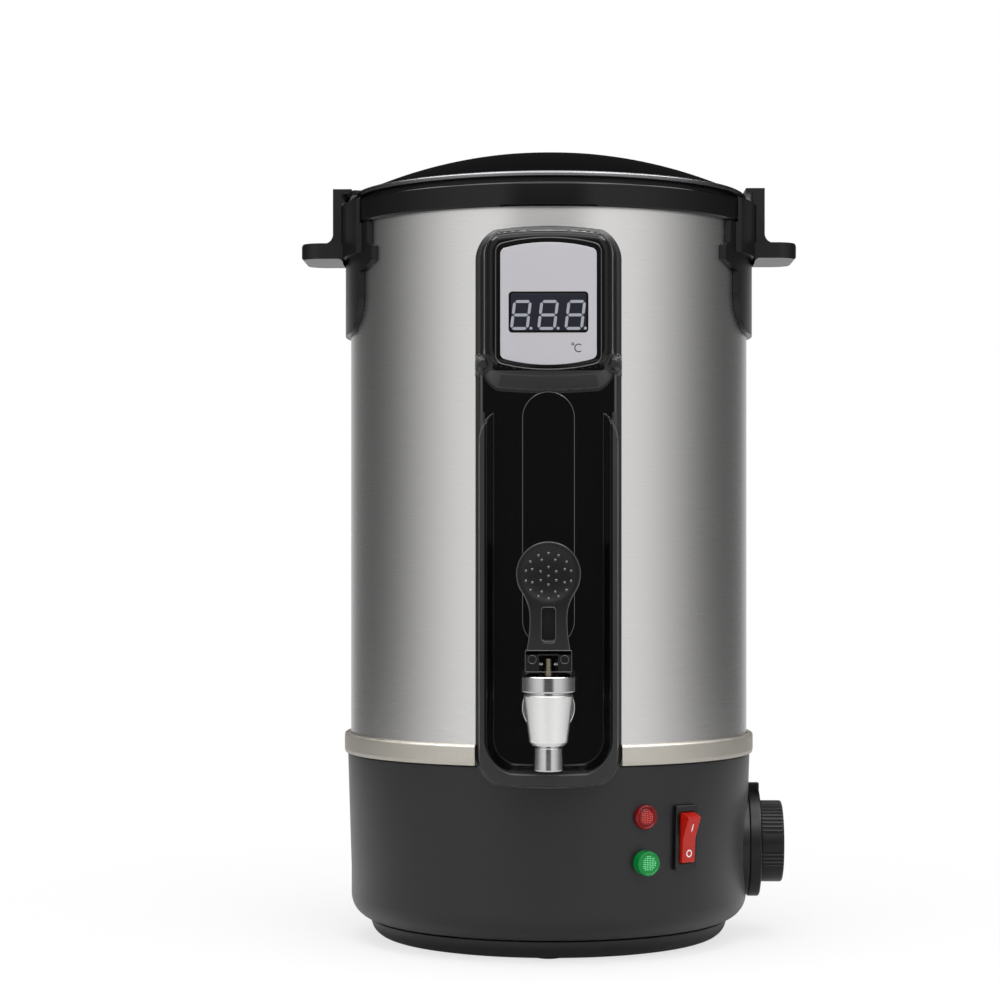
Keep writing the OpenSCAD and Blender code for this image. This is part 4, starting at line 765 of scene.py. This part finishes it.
# %% Lever: paddle and neck
BLOCK_TOP, LEVER_L, PADDLE_R, LEVER_OUT = PIN_Z + 6.9, 60.0, 16.0, -PIN_Y
PADDLE_Z = PIN_Z + LEVER_L - PADDLE_R
NECK, WAIST_R, DISH_R, DISH = 9.4, 22.0, 13.6, 0.9
SLOT_W, SLOT_H, SLOT_Z = 6.4, 16.0, PIN_Z + 19.5
SHARP = math.radians(32)

def up_lever(v):
    """0 at the foot of the neck, and 1 at the tip of the paddle."""
    return np.clip((v - BLOCK_TOP - 1) / (LEVER_L - 7.9), -0.2, 1)

def lever_front(u, v):
    """Front of the lever before the axis: a shallow curve up the neck, dished in the paddle."""
    s = up_lever(v)
    r = np.hypot(u, v - PADDLE_Z)
    return LEVER_OUT + 8.7 - 7 * s * (1.25 - s) - DISH * np.clip(1 - (r / DISH_R) ** 4, 0, 1)

def lever_back(u, v):
    """Back of the lever: a straighter curve, so the paddle is thinner than the neck."""
    s = up_lever(v)
    return LEVER_OUT - 4 + 9 * s - 3.6 * s ** 2

join_z = PADDLE_Z - math.sqrt((PADDLE_R + WAIST_R) ** 2 - (NECK + WAIST_R) ** 2)
turn_a = math.degrees(math.asin((PADDLE_Z - join_z) / (PADDLE_R + WAIST_R)))
right = np.vstack([[[11.0, BLOCK_TOP - 1.5], [10.9, BLOCK_TOP]],
                   [[NECK + 1.5 * (1 - t) ** 2, BLOCK_TOP + 14 * t]
                    for t in np.linspace(0.1, 1, 8)],
                   arc(NECK + WAIST_R, join_z, WAIST_R, 180, 180 - turn_a, 14),
                   arc(0, PADDLE_Z, PADDLE_R, -turn_a, 90, 22)[1:]])
lever_loop = np.vstack([right, (right * [-1, 1])[::-1][1:]])
paddle = piece("lever_paddle", [plate(facing, slab(lever_loop, lever_back, lever_front, 1.3,
                                                   (0, BLOCK_TOP, PADDLE_Z), 5, 14))],
               "tap_lever", satin_black)
cutter = front_plate("slot_cutter", box_loop(SLOT_W, SLOT_H, 1.2, (0, SLOT_Z)), LEVER_OUT + 2.2,
                     LEVER_OUT + 12, 0.3, (SLOT_Z - 2.5, SLOT_Z + 2.5), "tap_lever",
                     satin_black, False)
cut = paddle.modifiers.new("slot", "BOOLEAN")
cut.operation, cut.object, cut.solver = "DIFFERENCE", cutter, "EXACT"
bpy.context.view_layer.update()
shaped = paddle.evaluated_get(bpy.context.evaluated_depsgraph_get())
carved = bpy.data.meshes.new_from_object(shaped)
paddle.modifiers.remove(paddle.modifiers["slot"])
paddle.data = carved
bpy.data.objects.remove(cutter)
carved.set_sharp_from_angle(angle=SHARP)

# %% [markdown]
# The hinge block has two cheeks that hold the pin, a bridge and a front bar. The foot of each
# cheek is an involute cam, so its outline is taken from the same curve as the solid's. Fine
# lines in a lighter black follow the edges and circle the two mould marks as painted highlights.
# Small domes on the paddle give grip, and the same lighter black paints their highlights.

# %% Lever: block, lines and dots
CAM_K, CAM_DROP, PULL = 5.5, 5.6, 40.0
BLOCK_HALF, CHEEK_IN, BLOCK_BACK, BLOCK_H, BAR_H = 11.5, 4.5, 7.0, 6.9, 2.6
LINE_R, FINE_R, MARK_X, MARK_R = 0.2, 0.16, 7.9, 2.0

a = np.radians(np.arange(0, PULL + 1, 4))
reach = CAM_DROP + CAM_K * a
cam = np.stack([-reach * np.sin(a) - CAM_K * np.cos(a),
                -reach * np.cos(a) + CAM_K * np.sin(a)], -1)
front_y = cam[-1, 0]
cheek = np.vstack([[[BLOCK_BACK, -CAM_DROP + 0.02]], cam,
                   [[front_y, BLOCK_H - 0.5], [front_y + 0.5, BLOCK_H],
                    [BLOCK_BACK - 0.5, BLOCK_H], [BLOCK_BACK, BLOCK_H - 0.5]]]) + [PIN_Y, PIN_Z]
block_patches = [plate(sideways, slab(cheek, x0, x1, 0.5, (PIN_Y - 1, PIN_Z, PIN_Z), 3, 3))
                 for x0, x1 in ((-BLOCK_HALF, -CHEEK_IN), (CHEEK_IN, BLOCK_HALF))]
for length, y, z, half, edge, spine_y, rings in (
        (BLOCK_BACK - front_y, (BLOCK_BACK + front_y) / 2, 5.6, BLOCK_HALF - 0.1, 0.5, 0, 3),
        (3.0, front_y + 1.5, 5.9, BLOCK_HALF, 0.6, front_y + 1.5, 2)):
    at = (PIN_Y + y, PIN_Z + z)
    block_patches.append(plate(sideways, slab(box_loop(length, BAR_H, edge, at), -half, half,
                                              edge, (PIN_Y + spine_y, at[1], at[1]), 3, rings)))
piece("lever_block", block_patches, "tap_lever", satin_black, replace=False)

def domes(centers, radius, height, base, place_on=facing, sunk=0.15):
    """Small round bumps on a surface: rings shrink as the cosine and rise as the sine."""
    a = np.linspace(0, 2 * np.pi, 10, endpoint=False)[None, :]
    t = np.radians(np.linspace(0, 90, 4))[:, None]
    patches = []
    for u, v in centers:
        x, z = u + radius * np.cos(t) * np.cos(a), v + radius * np.cos(t) * np.sin(a)
        w = base(np.array([u]), np.array([v]))[0] - sunk + height * np.sin(t) + 0 * a
        grid = place_on(np.stack([x, z, w], -1))
        patches += [weave(grid, False, True), fan(grid[0])]
    return patches

spots = [(0, PADDLE_Z - 1.0)]
for r, count, first in ((4.4, 6, 90), (8.6, 8, 67.5), (11.3, 14, 90)):
    t = np.radians(first + np.arange(count) * 360 / count)
    spots += list(zip(r * np.cos(t), r * np.sin(t) * 0.98 + PADDLE_Z - 1.0))
# The dots' lighter black paints their highlights.
piece("lever_dots", domes(spots, 0.75, 0.6, lever_front), "tap_lever", painted_highlight_black, replace=False)

def over_lever(loop, inset, radius):
    """A fine round line that follows an outline over the lever's curved front."""
    grid = swept(loop, circle(-inset, 0, radius, 8))
    core = loop - outward(loop) * inset
    grid[..., 2] += (lever_front(core[:, 0], core[:, 1]) - inset * 0.32)[:, None]
    return weave(facing(grid), True, True)

# Light rings round the mould marks and a light line round the block's face: painted highlights of
# their edges.
block_face = -front_y + LEVER_OUT
marks = [fine_line(circle(side * MARK_X, PIN_Z + 2.4, MARK_R, 33), block_face, FINE_R)
         for side in (-1, 1)]
marks.append(fine_line(box_loop(2 * BLOCK_HALF - 0.4, 10.4, 0.8, (0, PIN_Z + 1.6), 3), block_face,
                       FINE_R))
rim_line = over_lever(lever_loop, 0.45, LINE_R)
slot_line = over_lever(box_loop(SLOT_W + 0.8, SLOT_H + 0.8, 1.6, (0, SLOT_Z)), 0.1, FINE_R)
piece("lever_highlight_lines", [rim_line, slot_line] + marks, "tap_lever", painted_highlight_black, replace=False)

# %% [markdown]
# **The lid** is one dome with two finger wells that leave a bar between them as the grip. The
# dome is a large sphere. Each well is a steep wall down to a flat floor, and a smooth
# smaller-of joins it to the dome, which rounds the edge a finger feels. Two ears at the rim
# lock under the handles' hooks, and a thin steel band covers the edge.

# %% Lid
DOME_R = 247.6
DOME_Z = corners("lid")[1][2] - DOME_R
WELL_FLOOR, WELL_R, BAR_HALF, CROWN_R = 404.4, 44.0, 10.0, 52.0
LID_R, LID_TOP, LID_LOW = 107.0, 400.5, 397.5
PLUG_R, PLUG_IN, PLUG_LOW, ROOF_Z, ROOF_R = 95.8, 93.3, 388.5, 401.9, 46.5
EAR_TURNS, AROUND = (17, 197), 360

def lid_top(x, y):
    """Height of the lid's top: the dome, lowered to a floor where a finger goes in."""
    r = np.hypot(x, y)
    dome = DOME_Z + np.sqrt(DOME_R ** 2 - r ** 2)
    depth = lower(WELL_R - r, np.abs(y) - BAR_HALF, 6)
    well = higher(WELL_FLOOR + 0 * r, WELL_FLOOR + 8 * (1 - depth), 3)
    return lower(dome, well, 1.5)

def lying(turn):
    """Places (u, v, w) flat: u and v turned by an angle, and w up."""
    c, s = math.cos(math.radians(turn)), math.sin(math.radians(turn))
    return lambda g: np.stack([g[..., 0] * c - g[..., 1] * s, g[..., 0] * s + g[..., 1] * c,
                               g[..., 2]], -1)

around = np.linspace(0, 2 * np.pi, AROUND, endpoint=False)[None, :]
rings = np.linspace(0, CROWN_R, 105)[:, None]
lid_x, lid_y = rings * np.sin(around), -rings * np.cos(around)
crown = np.stack([lid_x, lid_y, lid_top(lid_x, lid_y)], -1)
sphere_z = lambda r, drop=0.0: DOME_Z + np.sqrt((DOME_R - drop) ** 2 - r ** 2)
outer, inner = np.linspace(CROWN_R, 104, 27), np.linspace(PLUG_IN, ROOF_R, 12)
lid_profile = np.vstack([
    np.column_stack([outer, sphere_z(outer)]),
    rounded([(104, LID_TOP, 0), (LID_R, LID_TOP, 1.3), (LID_R, LID_LOW, 0.6),
             (PLUG_R, LID_LOW, 0.4), (PLUG_R, PLUG_LOW, 0.8), (PLUG_IN, PLUG_LOW, 0.8),
             (PLUG_IN, 402, 0)], 5)[1:-1],
    np.column_stack([inner, sphere_z(inner, 2.5)]), [[ROOF_R, ROOF_Z], [0, ROOF_Z]]])
skirt = np.stack([lid_profile[:, :1] * np.sin(around), -lid_profile[:, :1] * np.cos(around),
                  lid_profile[:, 1:] + 0 * around], -1)
ear = slab(box_loop(6.4, 16, 1.2, (107.6, 0)), 398.1, 400.4, 0.5, (107.6, 0, 0))
piece("lid_moulding", [weave(crown, False, True), weave(skirt, False, True)] +
      [plate(lying(turn), ear) for turn in EAR_TURNS], "lid", gloss_black)
band_in, band_out, band_low, band_top = 104.6, LID_R + 0.3, LID_LOW - 0.1, LID_TOP + 0.1
edge_profile = rounded([(band_in, band_low, 0), (band_out, band_low, 1.5),
                        (band_out, band_top, 1.5), (band_in, band_top, 0)], 9)
piece("lid_edge_band", turned(edge_profile, AROUND), "lid", edge_steel, replace=False)

# %% [markdown]
# Small mouldings keep the exact faces of their solids. They are merged and get a bevel of
# half a millimetre or so, because a spark-eroded mould never leaves a sharp edge.

# %% Softened mouldings
def whole_faces(work):
    """Joins the triangles of each flat face."""
    bmesh.ops.dissolve_limit(work, angle_limit=math.radians(0.3), verts=work.verts,
                             edges=work.edges)

def softened(node, width):
    """The solid's own faces, copied and merged, with small round edges."""
    mesh = nodes[node].data.copy()
    if "custom_normal" in mesh.attributes:
        mesh.attributes.remove(mesh.attributes["custom_normal"])
    reworked(mesh, whole_faces)
    thing = bpy.data.objects.new(node + "_moulding", mesh)
    bevel = thing.modifiers.new("edges", "BEVEL")
    bevel.width, bevel.segments, bevel.limit_method = width / 1000, 2, "ANGLE"
    bevel.angle_limit, bevel.harden_normals = math.radians(30), True
    return settle(thing, node)

for node, width in (("left_handle", 0.9), ("right_handle", 0.9), ("foot_ring", 0.8),
                    ("power_switch", 0.35), ("switch_rocker", 0.5), ("cord_gland", 0.4)):
    softened(node, width)

# %% [markdown]
# **The tap** hangs in front of the panel. Its cone is satin chrome, and its collar, spout and
# flange are bright chrome. All are turned parts, so each is drawn as half a section with
# corners (radius, height, rounding). The inlet pipe lies level, and the others stand upright.

# %% Tap
INLET_Z = 130.5

def on_tap(section, steps=5, around=128):
    """A turned part on the tap's own upright axis."""
    points, faces = turned(rounded(section, steps), around)[0]
    return [(points + np.array((0, PIN_Y, 0), float), faces)]

def pipe(section):
    """A turned part whose axis runs from the front to the back at the height of the inlet."""
    points, faces = turned(rounded(section, 5), 128)[0]
    return [(np.stack([points[:, 0], -points[:, 2], points[:, 1] + INLET_Z], -1), faces)]

cone = [(4, 113.4, 0), (7.75, 113.4, 0.3), (9.35, 115.2, 0.9), (12.35, 138.5, 0.9),
        (4, 138.5, 0)]
flange_disc = [(6, 110.5, 0), (13.5, 110.9, 1.0), (13.5, 114.2, 0.8), (6, 114.2, 0)]
inlet = [(3, 114, 0), (8.2, 114, 0.3), (8.2, 132.4, 0), (3, 132.4, 0)]
collar = [(3, 139.5, 0), (13.7, 139.5, 0.9), (13.7, 147.7, 0.9), (3, 147.7, 0)]
collar_neck = [(3, 138.3, 0), (11.4, 138.3, 0.2), (11.4, 139.8, 0), (3, 139.8, 0)]
spout = [(4.6, 100.8, 0.3), (7.15, 100.8, 0.9), (7.15, 112.5, 0.5), (6, 112.6, 0.1),
         (6, 113.6, 0), (4.6, 113.6, 0)]
sleeve = [(1, 147.9, 0), (3.0, 147.9, 0.2), (3.0, 156.6, 0.6), (1, 156.6, 0)]
piece("tap_cone", on_tap(cone), "tap_body", satin_chrome)
piece("tap_flange", pipe(flange_disc) + pipe(inlet), "tap_body", chrome, replace=False)
piece("tap_ring", on_tap(collar, 7) + on_tap(collar_neck), "tap_collar", chrome)
piece("spout_tube", on_tap(spout), "tap_spout", chrome)
piece("stem_sleeve", on_tap(sleeve, 4, 64), "tap_stem", brass, replace=False)

# %% [markdown]
# **The thermostat knob** has fine ribs in groups, with smooth stretches between them. Within
# 0.62 mm of a groove's middle, its side follows r = 22 - 0.65 (1 - (d / 0.62)^2). Its section
# is a list of (distance from the wall side, radius, how much of the groove it has).

# %% Knob
knob_low, knob_high = corners("thermostat_knob")
KNOB_IN, KNOB_OUT, KNOB_R = knob_low[0], knob_high[0], knob_high[1]
KNOB_L, KNOB_EDGE = KNOB_OUT - KNOB_IN, 1.2
DIAL_Z = (knob_low[2] + knob_high[2]) / 2
RIBS, PER_RIB, GROOVE_HALF, GROOVE_DEPTH = 60, 16, 0.62, 0.65

section = [(0, 0, 0), (0, KNOB_R - 0.5, 0), (0.5, KNOB_R, 1), (1.6, KNOB_R, 1), (11, KNOB_R, 1)]
section += [(KNOB_L - KNOB_EDGE * (1 - math.sin(t)), KNOB_R - KNOB_EDGE * (1 - math.cos(t)),
             math.cos(t) ** 2) for t in np.radians(np.linspace(0, 90, 7))]
section += [(KNOB_L, KNOB_R - 2.6, 0), (KNOB_L - 0.6, KNOB_R - 3.3, 0), (KNOB_L - 0.6, 0, 0)]
knob_x, knob_r, ribbed = (np.array(c)[:, None] for c in zip(*section))
theta = np.linspace(0, 2 * np.pi, RIBS * PER_RIB, endpoint=False)[None, :]
nearest = np.round(theta / (2 * np.pi / RIBS))
d = (theta - nearest * 2 * np.pi / RIBS) * KNOB_R
at_rib = nearest * 360 / RIBS % 180
ribbed_here = (at_rib > 57) & (at_rib < 81) | (at_rib > 105)
groove = GROOVE_DEPTH * np.clip(1 - (d / GROOVE_HALF) ** 2, 0, 1) * ribbed_here
radius = np.maximum(knob_r - groove * ribbed, 0)
knob_grid = np.stack([KNOB_IN + knob_x + 0 * theta, -radius * np.sin(theta),
                      DIAL_Z - radius * np.cos(theta)], -1)
piece("knob_moulding", [weave(knob_grid, False, True)], "thermostat_knob", satin_black)

# %% [markdown]
# The plate behind the knob is a disc on a darker foot that meets the wall, with a tab at the
# top. Its ticks are ten degrees apart, and each fourth one is longer and wider.

# %% Dial plate and its marks
dial_low, dial_high = corners("dial_plate")
DIAL_R, DIAL_FACE = (dial_high[1] - dial_low[1]) / 2, dial_high[0]
DISC_BACK, FOOT_BACK, HOLE_R, TAB_HALF = 107.6, 99.6, 10, 2.5
TICKS, TICK_STEP, TICK_END = 29, 10, 26.4

def on_dial(x):
    """Places (u, v, w) on a face that looks along +X: u to its right, v up, w out of it."""
    return lambda g: np.stack([x + g[..., 2], g[..., 0], DIAL_Z + g[..., 1]], -1)

def on_shaft(section):
    """A turned part on the knob's level axis: its section is (radius, x)."""
    points, faces = turned(rounded(section, 5), 192)[0]
    return [(np.stack([points[:, 2], points[:, 1], points[:, 0] + DIAL_Z], -1), faces)]

def block(low, high, edge):
    """A box with round edges between two corners, as a patch."""
    middle = ((low[1] + high[1]) / 2, (low[2] + high[2]) / 2)
    loop = box_loop(high[1] - low[1], high[2] - low[2], edge, middle, 3)
    return plate(sideways, slab(loop, low[0], high[0], edge, None, 3, 2))

disc = on_shaft([(HOLE_R, DISC_BACK, 0), (DIAL_R, DISC_BACK, 0.9), (DIAL_R, DIAL_FACE, 1.0),
                 (HOLE_R, DIAL_FACE, 0)])
tab_top = DIAL_Z + DIAL_R + 2
tab = [block((DIAL_FACE - deep, -TAB_HALF, tab_top - tall), (DIAL_FACE + out, TAB_HALF, tab_top),
             0.4) for deep, tall, out in ((5.4, 3.5, 0.3), (0.5, 5.6, 0.4))]
piece("dial_disc", disc + tab, "dial_plate", satin_black)
foot_top = DISC_BACK + 0.3
piece("dial_foot", on_shaft([(HOLE_R, FOOT_BACK, 0), (DIAL_R - 0.9, FOOT_BACK, 0),
                             (DIAL_R - 0.9, foot_top, 0), (HOLE_R, foot_top, 0)]),
      "dial_plate", switch_black, replace=False)

needle = ribbon(np.array([[0, 9.0], [0, 17.5]]), 1.6, -0.2, 0.12)
piece("knob_pointer", strokes(on_dial(KNOB_OUT - 0.6), needle), "thermostat_knob", white_ink,
      replace=False)
ticks = []
for k in range(TICKS):
    t = math.radians(90 - k * TICK_STEP)
    start, width = (23.0, 0.7) if k % 4 == 0 else (24.4, 0.35)
    path = np.array([[r * math.cos(t), r * math.sin(t)] for r in (start, TICK_END)])
    ticks.append(ribbon(path, width, -0.15, 0.04))
piece("dial_ticks", strokes(on_dial(DIAL_FACE), *ticks), "dial_plate", white_ink, replace=False)

# %% [markdown]
# ** Switch and lamps** sit on the wall of the base, which leans out by under two degrees. The
# rocker carries a line for on and a ring for off. The lamps are tinted lenses, and their flat
# faces are covered with tiny bumps that spread the light. The bumps are a lighter tint that
# glows more: a painted highlight and glow on the lenses.

# %% Marks and lamps
LEAN = math.atan((BASE_R - BELLY_R) / (BASE_TOP - BELLY_Z))
SWITCH_TURN, SWITCH_Z, ROCK = 40, 62.3, math.radians(10)
LAMP_TURN, LAMP_R, BUMP_PITCH, BUMP_R, BUMP_H = 26.8, 6.25, 0.95, 0.3, 0.24

def on_wall(turn, height):
    """Places (u, v, w) on the wall of the base: u along it, v up it, w out of it."""
    a, t = math.pi / 2 + LEAN, math.radians(turn)
    wall = BELLY_R + max(0, height - BELLY_Z) * math.tan(LEAN)
    def put(g):
        y = g[..., 1] * math.cos(a) - g[..., 2] * math.sin(a) - wall
        z = g[..., 1] * math.sin(a) + g[..., 2] * math.cos(a) + height
        return np.stack([g[..., 0] * math.cos(t) - y * math.sin(t),
                         g[..., 0] * math.sin(t) + y * math.cos(t), z], -1)
    return put

def on_rocker(g):
    """Places (u, v, w) on the rocker's two sloping halves, tipped to one side."""
    v, w = g[..., 1], g[..., 2] + 3.0 + 2.2 / 13.9 * np.abs(g[..., 1])
    c, s = math.cos(ROCK), math.sin(ROCK)
    tipped = np.stack([g[..., 0], v * c - w * s, v * s + w * c + 1.3], -1)
    return on_wall(SWITCH_TURN, SWITCH_Z)(tipped)

on_mark = ribbon(np.array([[0, 4.2], [0, 8.2]]), 0.6, -0.2, 0.06)
off_mark = ribbon(arc(0, -7.4, 1.6, 0, 360, 32), 0.6, -0.2, 0.06)
piece("rocker_marks", strokes(on_rocker, on_mark, off_mark), "switch_rocker", white_ink,
      replace=False)

def bumps(reach, face, put):
    """A square grid of small domes on a round face."""
    at = np.arange(-reach, reach + 0.01, BUMP_PITCH)
    spots = [(u, v) for u in at for v in at if math.hypot(u, v) < reach]
    return domes(spots, BUMP_R, BUMP_H, lambda u, v: face + 0 * u, put, 0.0)

red_section = [(0, 2.4, 0), (4.3, 2.4, 0.7), (4.6, 1.6, 0.3), (5.2, 2.5, 0.4), (5.8, 2.6, 0.5),
               (LAMP_R, 1.6, 0.5), (LAMP_R, 0, 0), (0, 0, 0)]
green_section = [(0, 5.2, 0), (5.2, 5.2, 0.4), (5.4, 5.5, 0.15), (6.0, 5.5, 0.35),
                 (LAMP_R, 5.1, 0.3), (LAMP_R, 0, 0), (0, 0, 0)]
for name, height, section, reach, material, bumps_painted_glow in (
        ("red_lamp", 74.0, red_section, 3.6, lens_red, red_bumps_painted_glow),
        ("green_lamp", 50.8, green_section, 3.9, lens_green, green_bumps_painted_glow)):
    put = on_wall(LAMP_TURN, height)
    head = [(put(points), faces) for points, faces in turned(rounded(section, 5), 96)]
    piece(name + "_lens", head, name, material)
    piece(name + "_dots", bumps(reach, section[0][1], put), name, bumps_painted_glow, replace=False)

# %% [markdown]
# The melter stands in a soft studio. Steel and gloss show what stands round them, so the room
# is brighter or darker by direction. The stops run from straight behind (180 degrees) to the
# camera (0): white behind, a dark side, and light that grows toward the front. A gap in front,
# a dark ceiling behind, a soft box overhead and two strips of light complete it. Matt surfaces
# get an even light, and the camera sees plain white behind the melter.

# %% Room
STOPS = [(180, 1.0), (162, 0.8), (150, 0.34), (143, 0.22), (129, 0.14), (118, 0.14),
         (109, 0.17), (100, 0.23), (92, 0.32), (85, 0.44), (78, 0.57), (71, 0.7), (65, 0.82),
         (59, 0.94), (50, 1.07), (30, 1.15), (15, 1.2), (0, 1.25)]
GAP_LEVEL, CEILING_LEVEL, BOX_LEVEL, STRIP_LEVEL, EVEN_LEVEL = 0.12, 0.015, 0.9, 9.0, 0.62

world = bpy.data.worlds.new("studio")
bpy.context.scene.world = world
world.use_nodes = True
tree = world.node_tree
tree.nodes.clear()
band = lambda value, start, end: ranged(tree, value, 0.0, 1.0, start, end)
product = lambda a, b: maths(tree, "MULTIPLY", a, b)

ray = add(tree, "ShaderNodeTexCoord").outputs["Generated"]
parts = add(tree, "ShaderNodeSeparateXYZ", {0: ray}).outputs
flat = add(tree, "ShaderNodeCombineXYZ", {"X": parts["X"], "Y": parts["Y"]}).outputs[0]
unit = add(tree, "ShaderNodeVectorMath", {0: flat}, operation="NORMALIZE").outputs[0]
ahead = band(add(tree, "ShaderNodeSeparateXYZ", {0: unit}).outputs["Y"], 1.0, -1.0)
ramp = add(tree, "ShaderNodeValToRGB", {"Fac": ahead})
line = ramp.color_ramp
for k, (angle, value) in enumerate(STOPS):
    spot = (math.cos(math.radians(angle)) + 1) / 2
    first, last = k == 0, k == len(STOPS) - 1
    stop = line.elements[0] if first else line.elements[-1] if last else line.elements.new(spot)
    stop.position = spot
    stop.color = (value, value, value, 1)

height = parts["Z"]
level = maths(tree, "ABSOLUTE", height)
gap_ahead = product(band(ahead, 0.95, 0.985), band(level, 0.2, 0.12))
ceiling = product(band(ahead, 0.4, 0.2), band(height, 0.1, 0.16))
overhead = band(height, 0.88, 0.93)
strips = product(product(band(height, 0.62, 0.65), band(height, 0.86, 0.83)),
                 product(band(ahead, 0.975, 0.94), band(ahead, 0.3, 0.36)))
room = ramp.outputs["Color"]
for where, value in ((gap_ahead, GAP_LEVEL), (ceiling, CEILING_LEVEL), (overhead, BOX_LEVEL),
                     (strips, STRIP_LEVEL)):
    room = mix(tree, where, room, value)

path = add(tree, "ShaderNodeLightPath").outputs
seen = maths(tree, "MAXIMUM", path["Is Camera Ray"], path["Is Transmission Ray"])
sky = mix(tree, seen, mix(tree, path["Is Glossy Ray"], EVEN_LEVEL, room), 1.0)
light = add(tree, "ShaderNodeBackground", {"Color": sky, "Strength": 1.0})
add(tree, "ShaderNodeOutputWorld", {"Surface": light.outputs[0]})
print("room stops:", len(line.elements))

# %% [markdown]
# Two large soft lamps, above and in front, shape the matt surfaces. The pale floor keeps the
# melter's soft shadow near its foot and fades to the white of the room further out.

# %% Floor and lamps
AIM, FLOOR_R, FLOOR_SIDES = (0, 0, 0.2), 0.8, 96
FADE_START, FADE_END, FADE_NEAR = 0.12, 0.5, 0.72

def lamp(name, at, size, watts):
    """A soft rectangular lamp at a point, turned toward the melter."""
    data = bpy.data.lights.new(name, "AREA")
    data.shape, data.size, data.size_y, data.energy = "RECTANGLE", size[0], size[1], watts
    thing = bpy.data.objects.new(name, data)
    thing.location = at
    thing.rotation_euler = (Vector(AIM) - Vector(at)).to_track_quat("-Z", "Y").to_euler()
    bpy.context.scene.collection.objects.link(thing)

lamp("lamp_top", (0, -0.3, 1.5), (1.2, 0.8), 11)
lamp("lamp_front", (0.2, -1.3, 1.35), (1.3, 0.7), 9)

floor_paint, tree, shader = surface("matt white floor", "#f2f2f2", Roughness=0.8)
where = add(tree, "ShaderNodeTexCoord").outputs["Object"]
far = add(tree, "ShaderNodeVectorMath", {0: where}, operation="LENGTH").outputs["Value"]
fade = ranged(tree, far, FADE_NEAR, 1.0, FADE_START, FADE_END)
path = add(tree, "ShaderNodeLightPath").outputs
white = add(tree, "ShaderNodeEmission", {"Color": (1, 1, 1, 1), "Strength": 1.0}).outputs[0]
share = maths(tree, "MULTIPLY", path["Is Camera Ray"], fade)
mixed = add(tree, "ShaderNodeMixShader", {0: share, 1: shader.outputs[0], 2: white}).outputs[0]
tree.links.new(mixed, tree.nodes["Material Output"].inputs["Surface"])
floor_mesh = bpy.data.meshes.new("floor")
disc = np.column_stack([circle(0, 0, FLOOR_R, FLOOR_SIDES), np.zeros(FLOOR_SIDES)])
floor_mesh.from_pydata(disc.tolist(), [], [tuple(range(FLOOR_SIDES))])
floor_mesh.materials.append(floor_paint)
floor = bpy.data.objects.new("floor", floor_mesh)
bpy.context.scene.collection.objects.link(floor)
print("floor:", 2 * FLOOR_R, "m across")
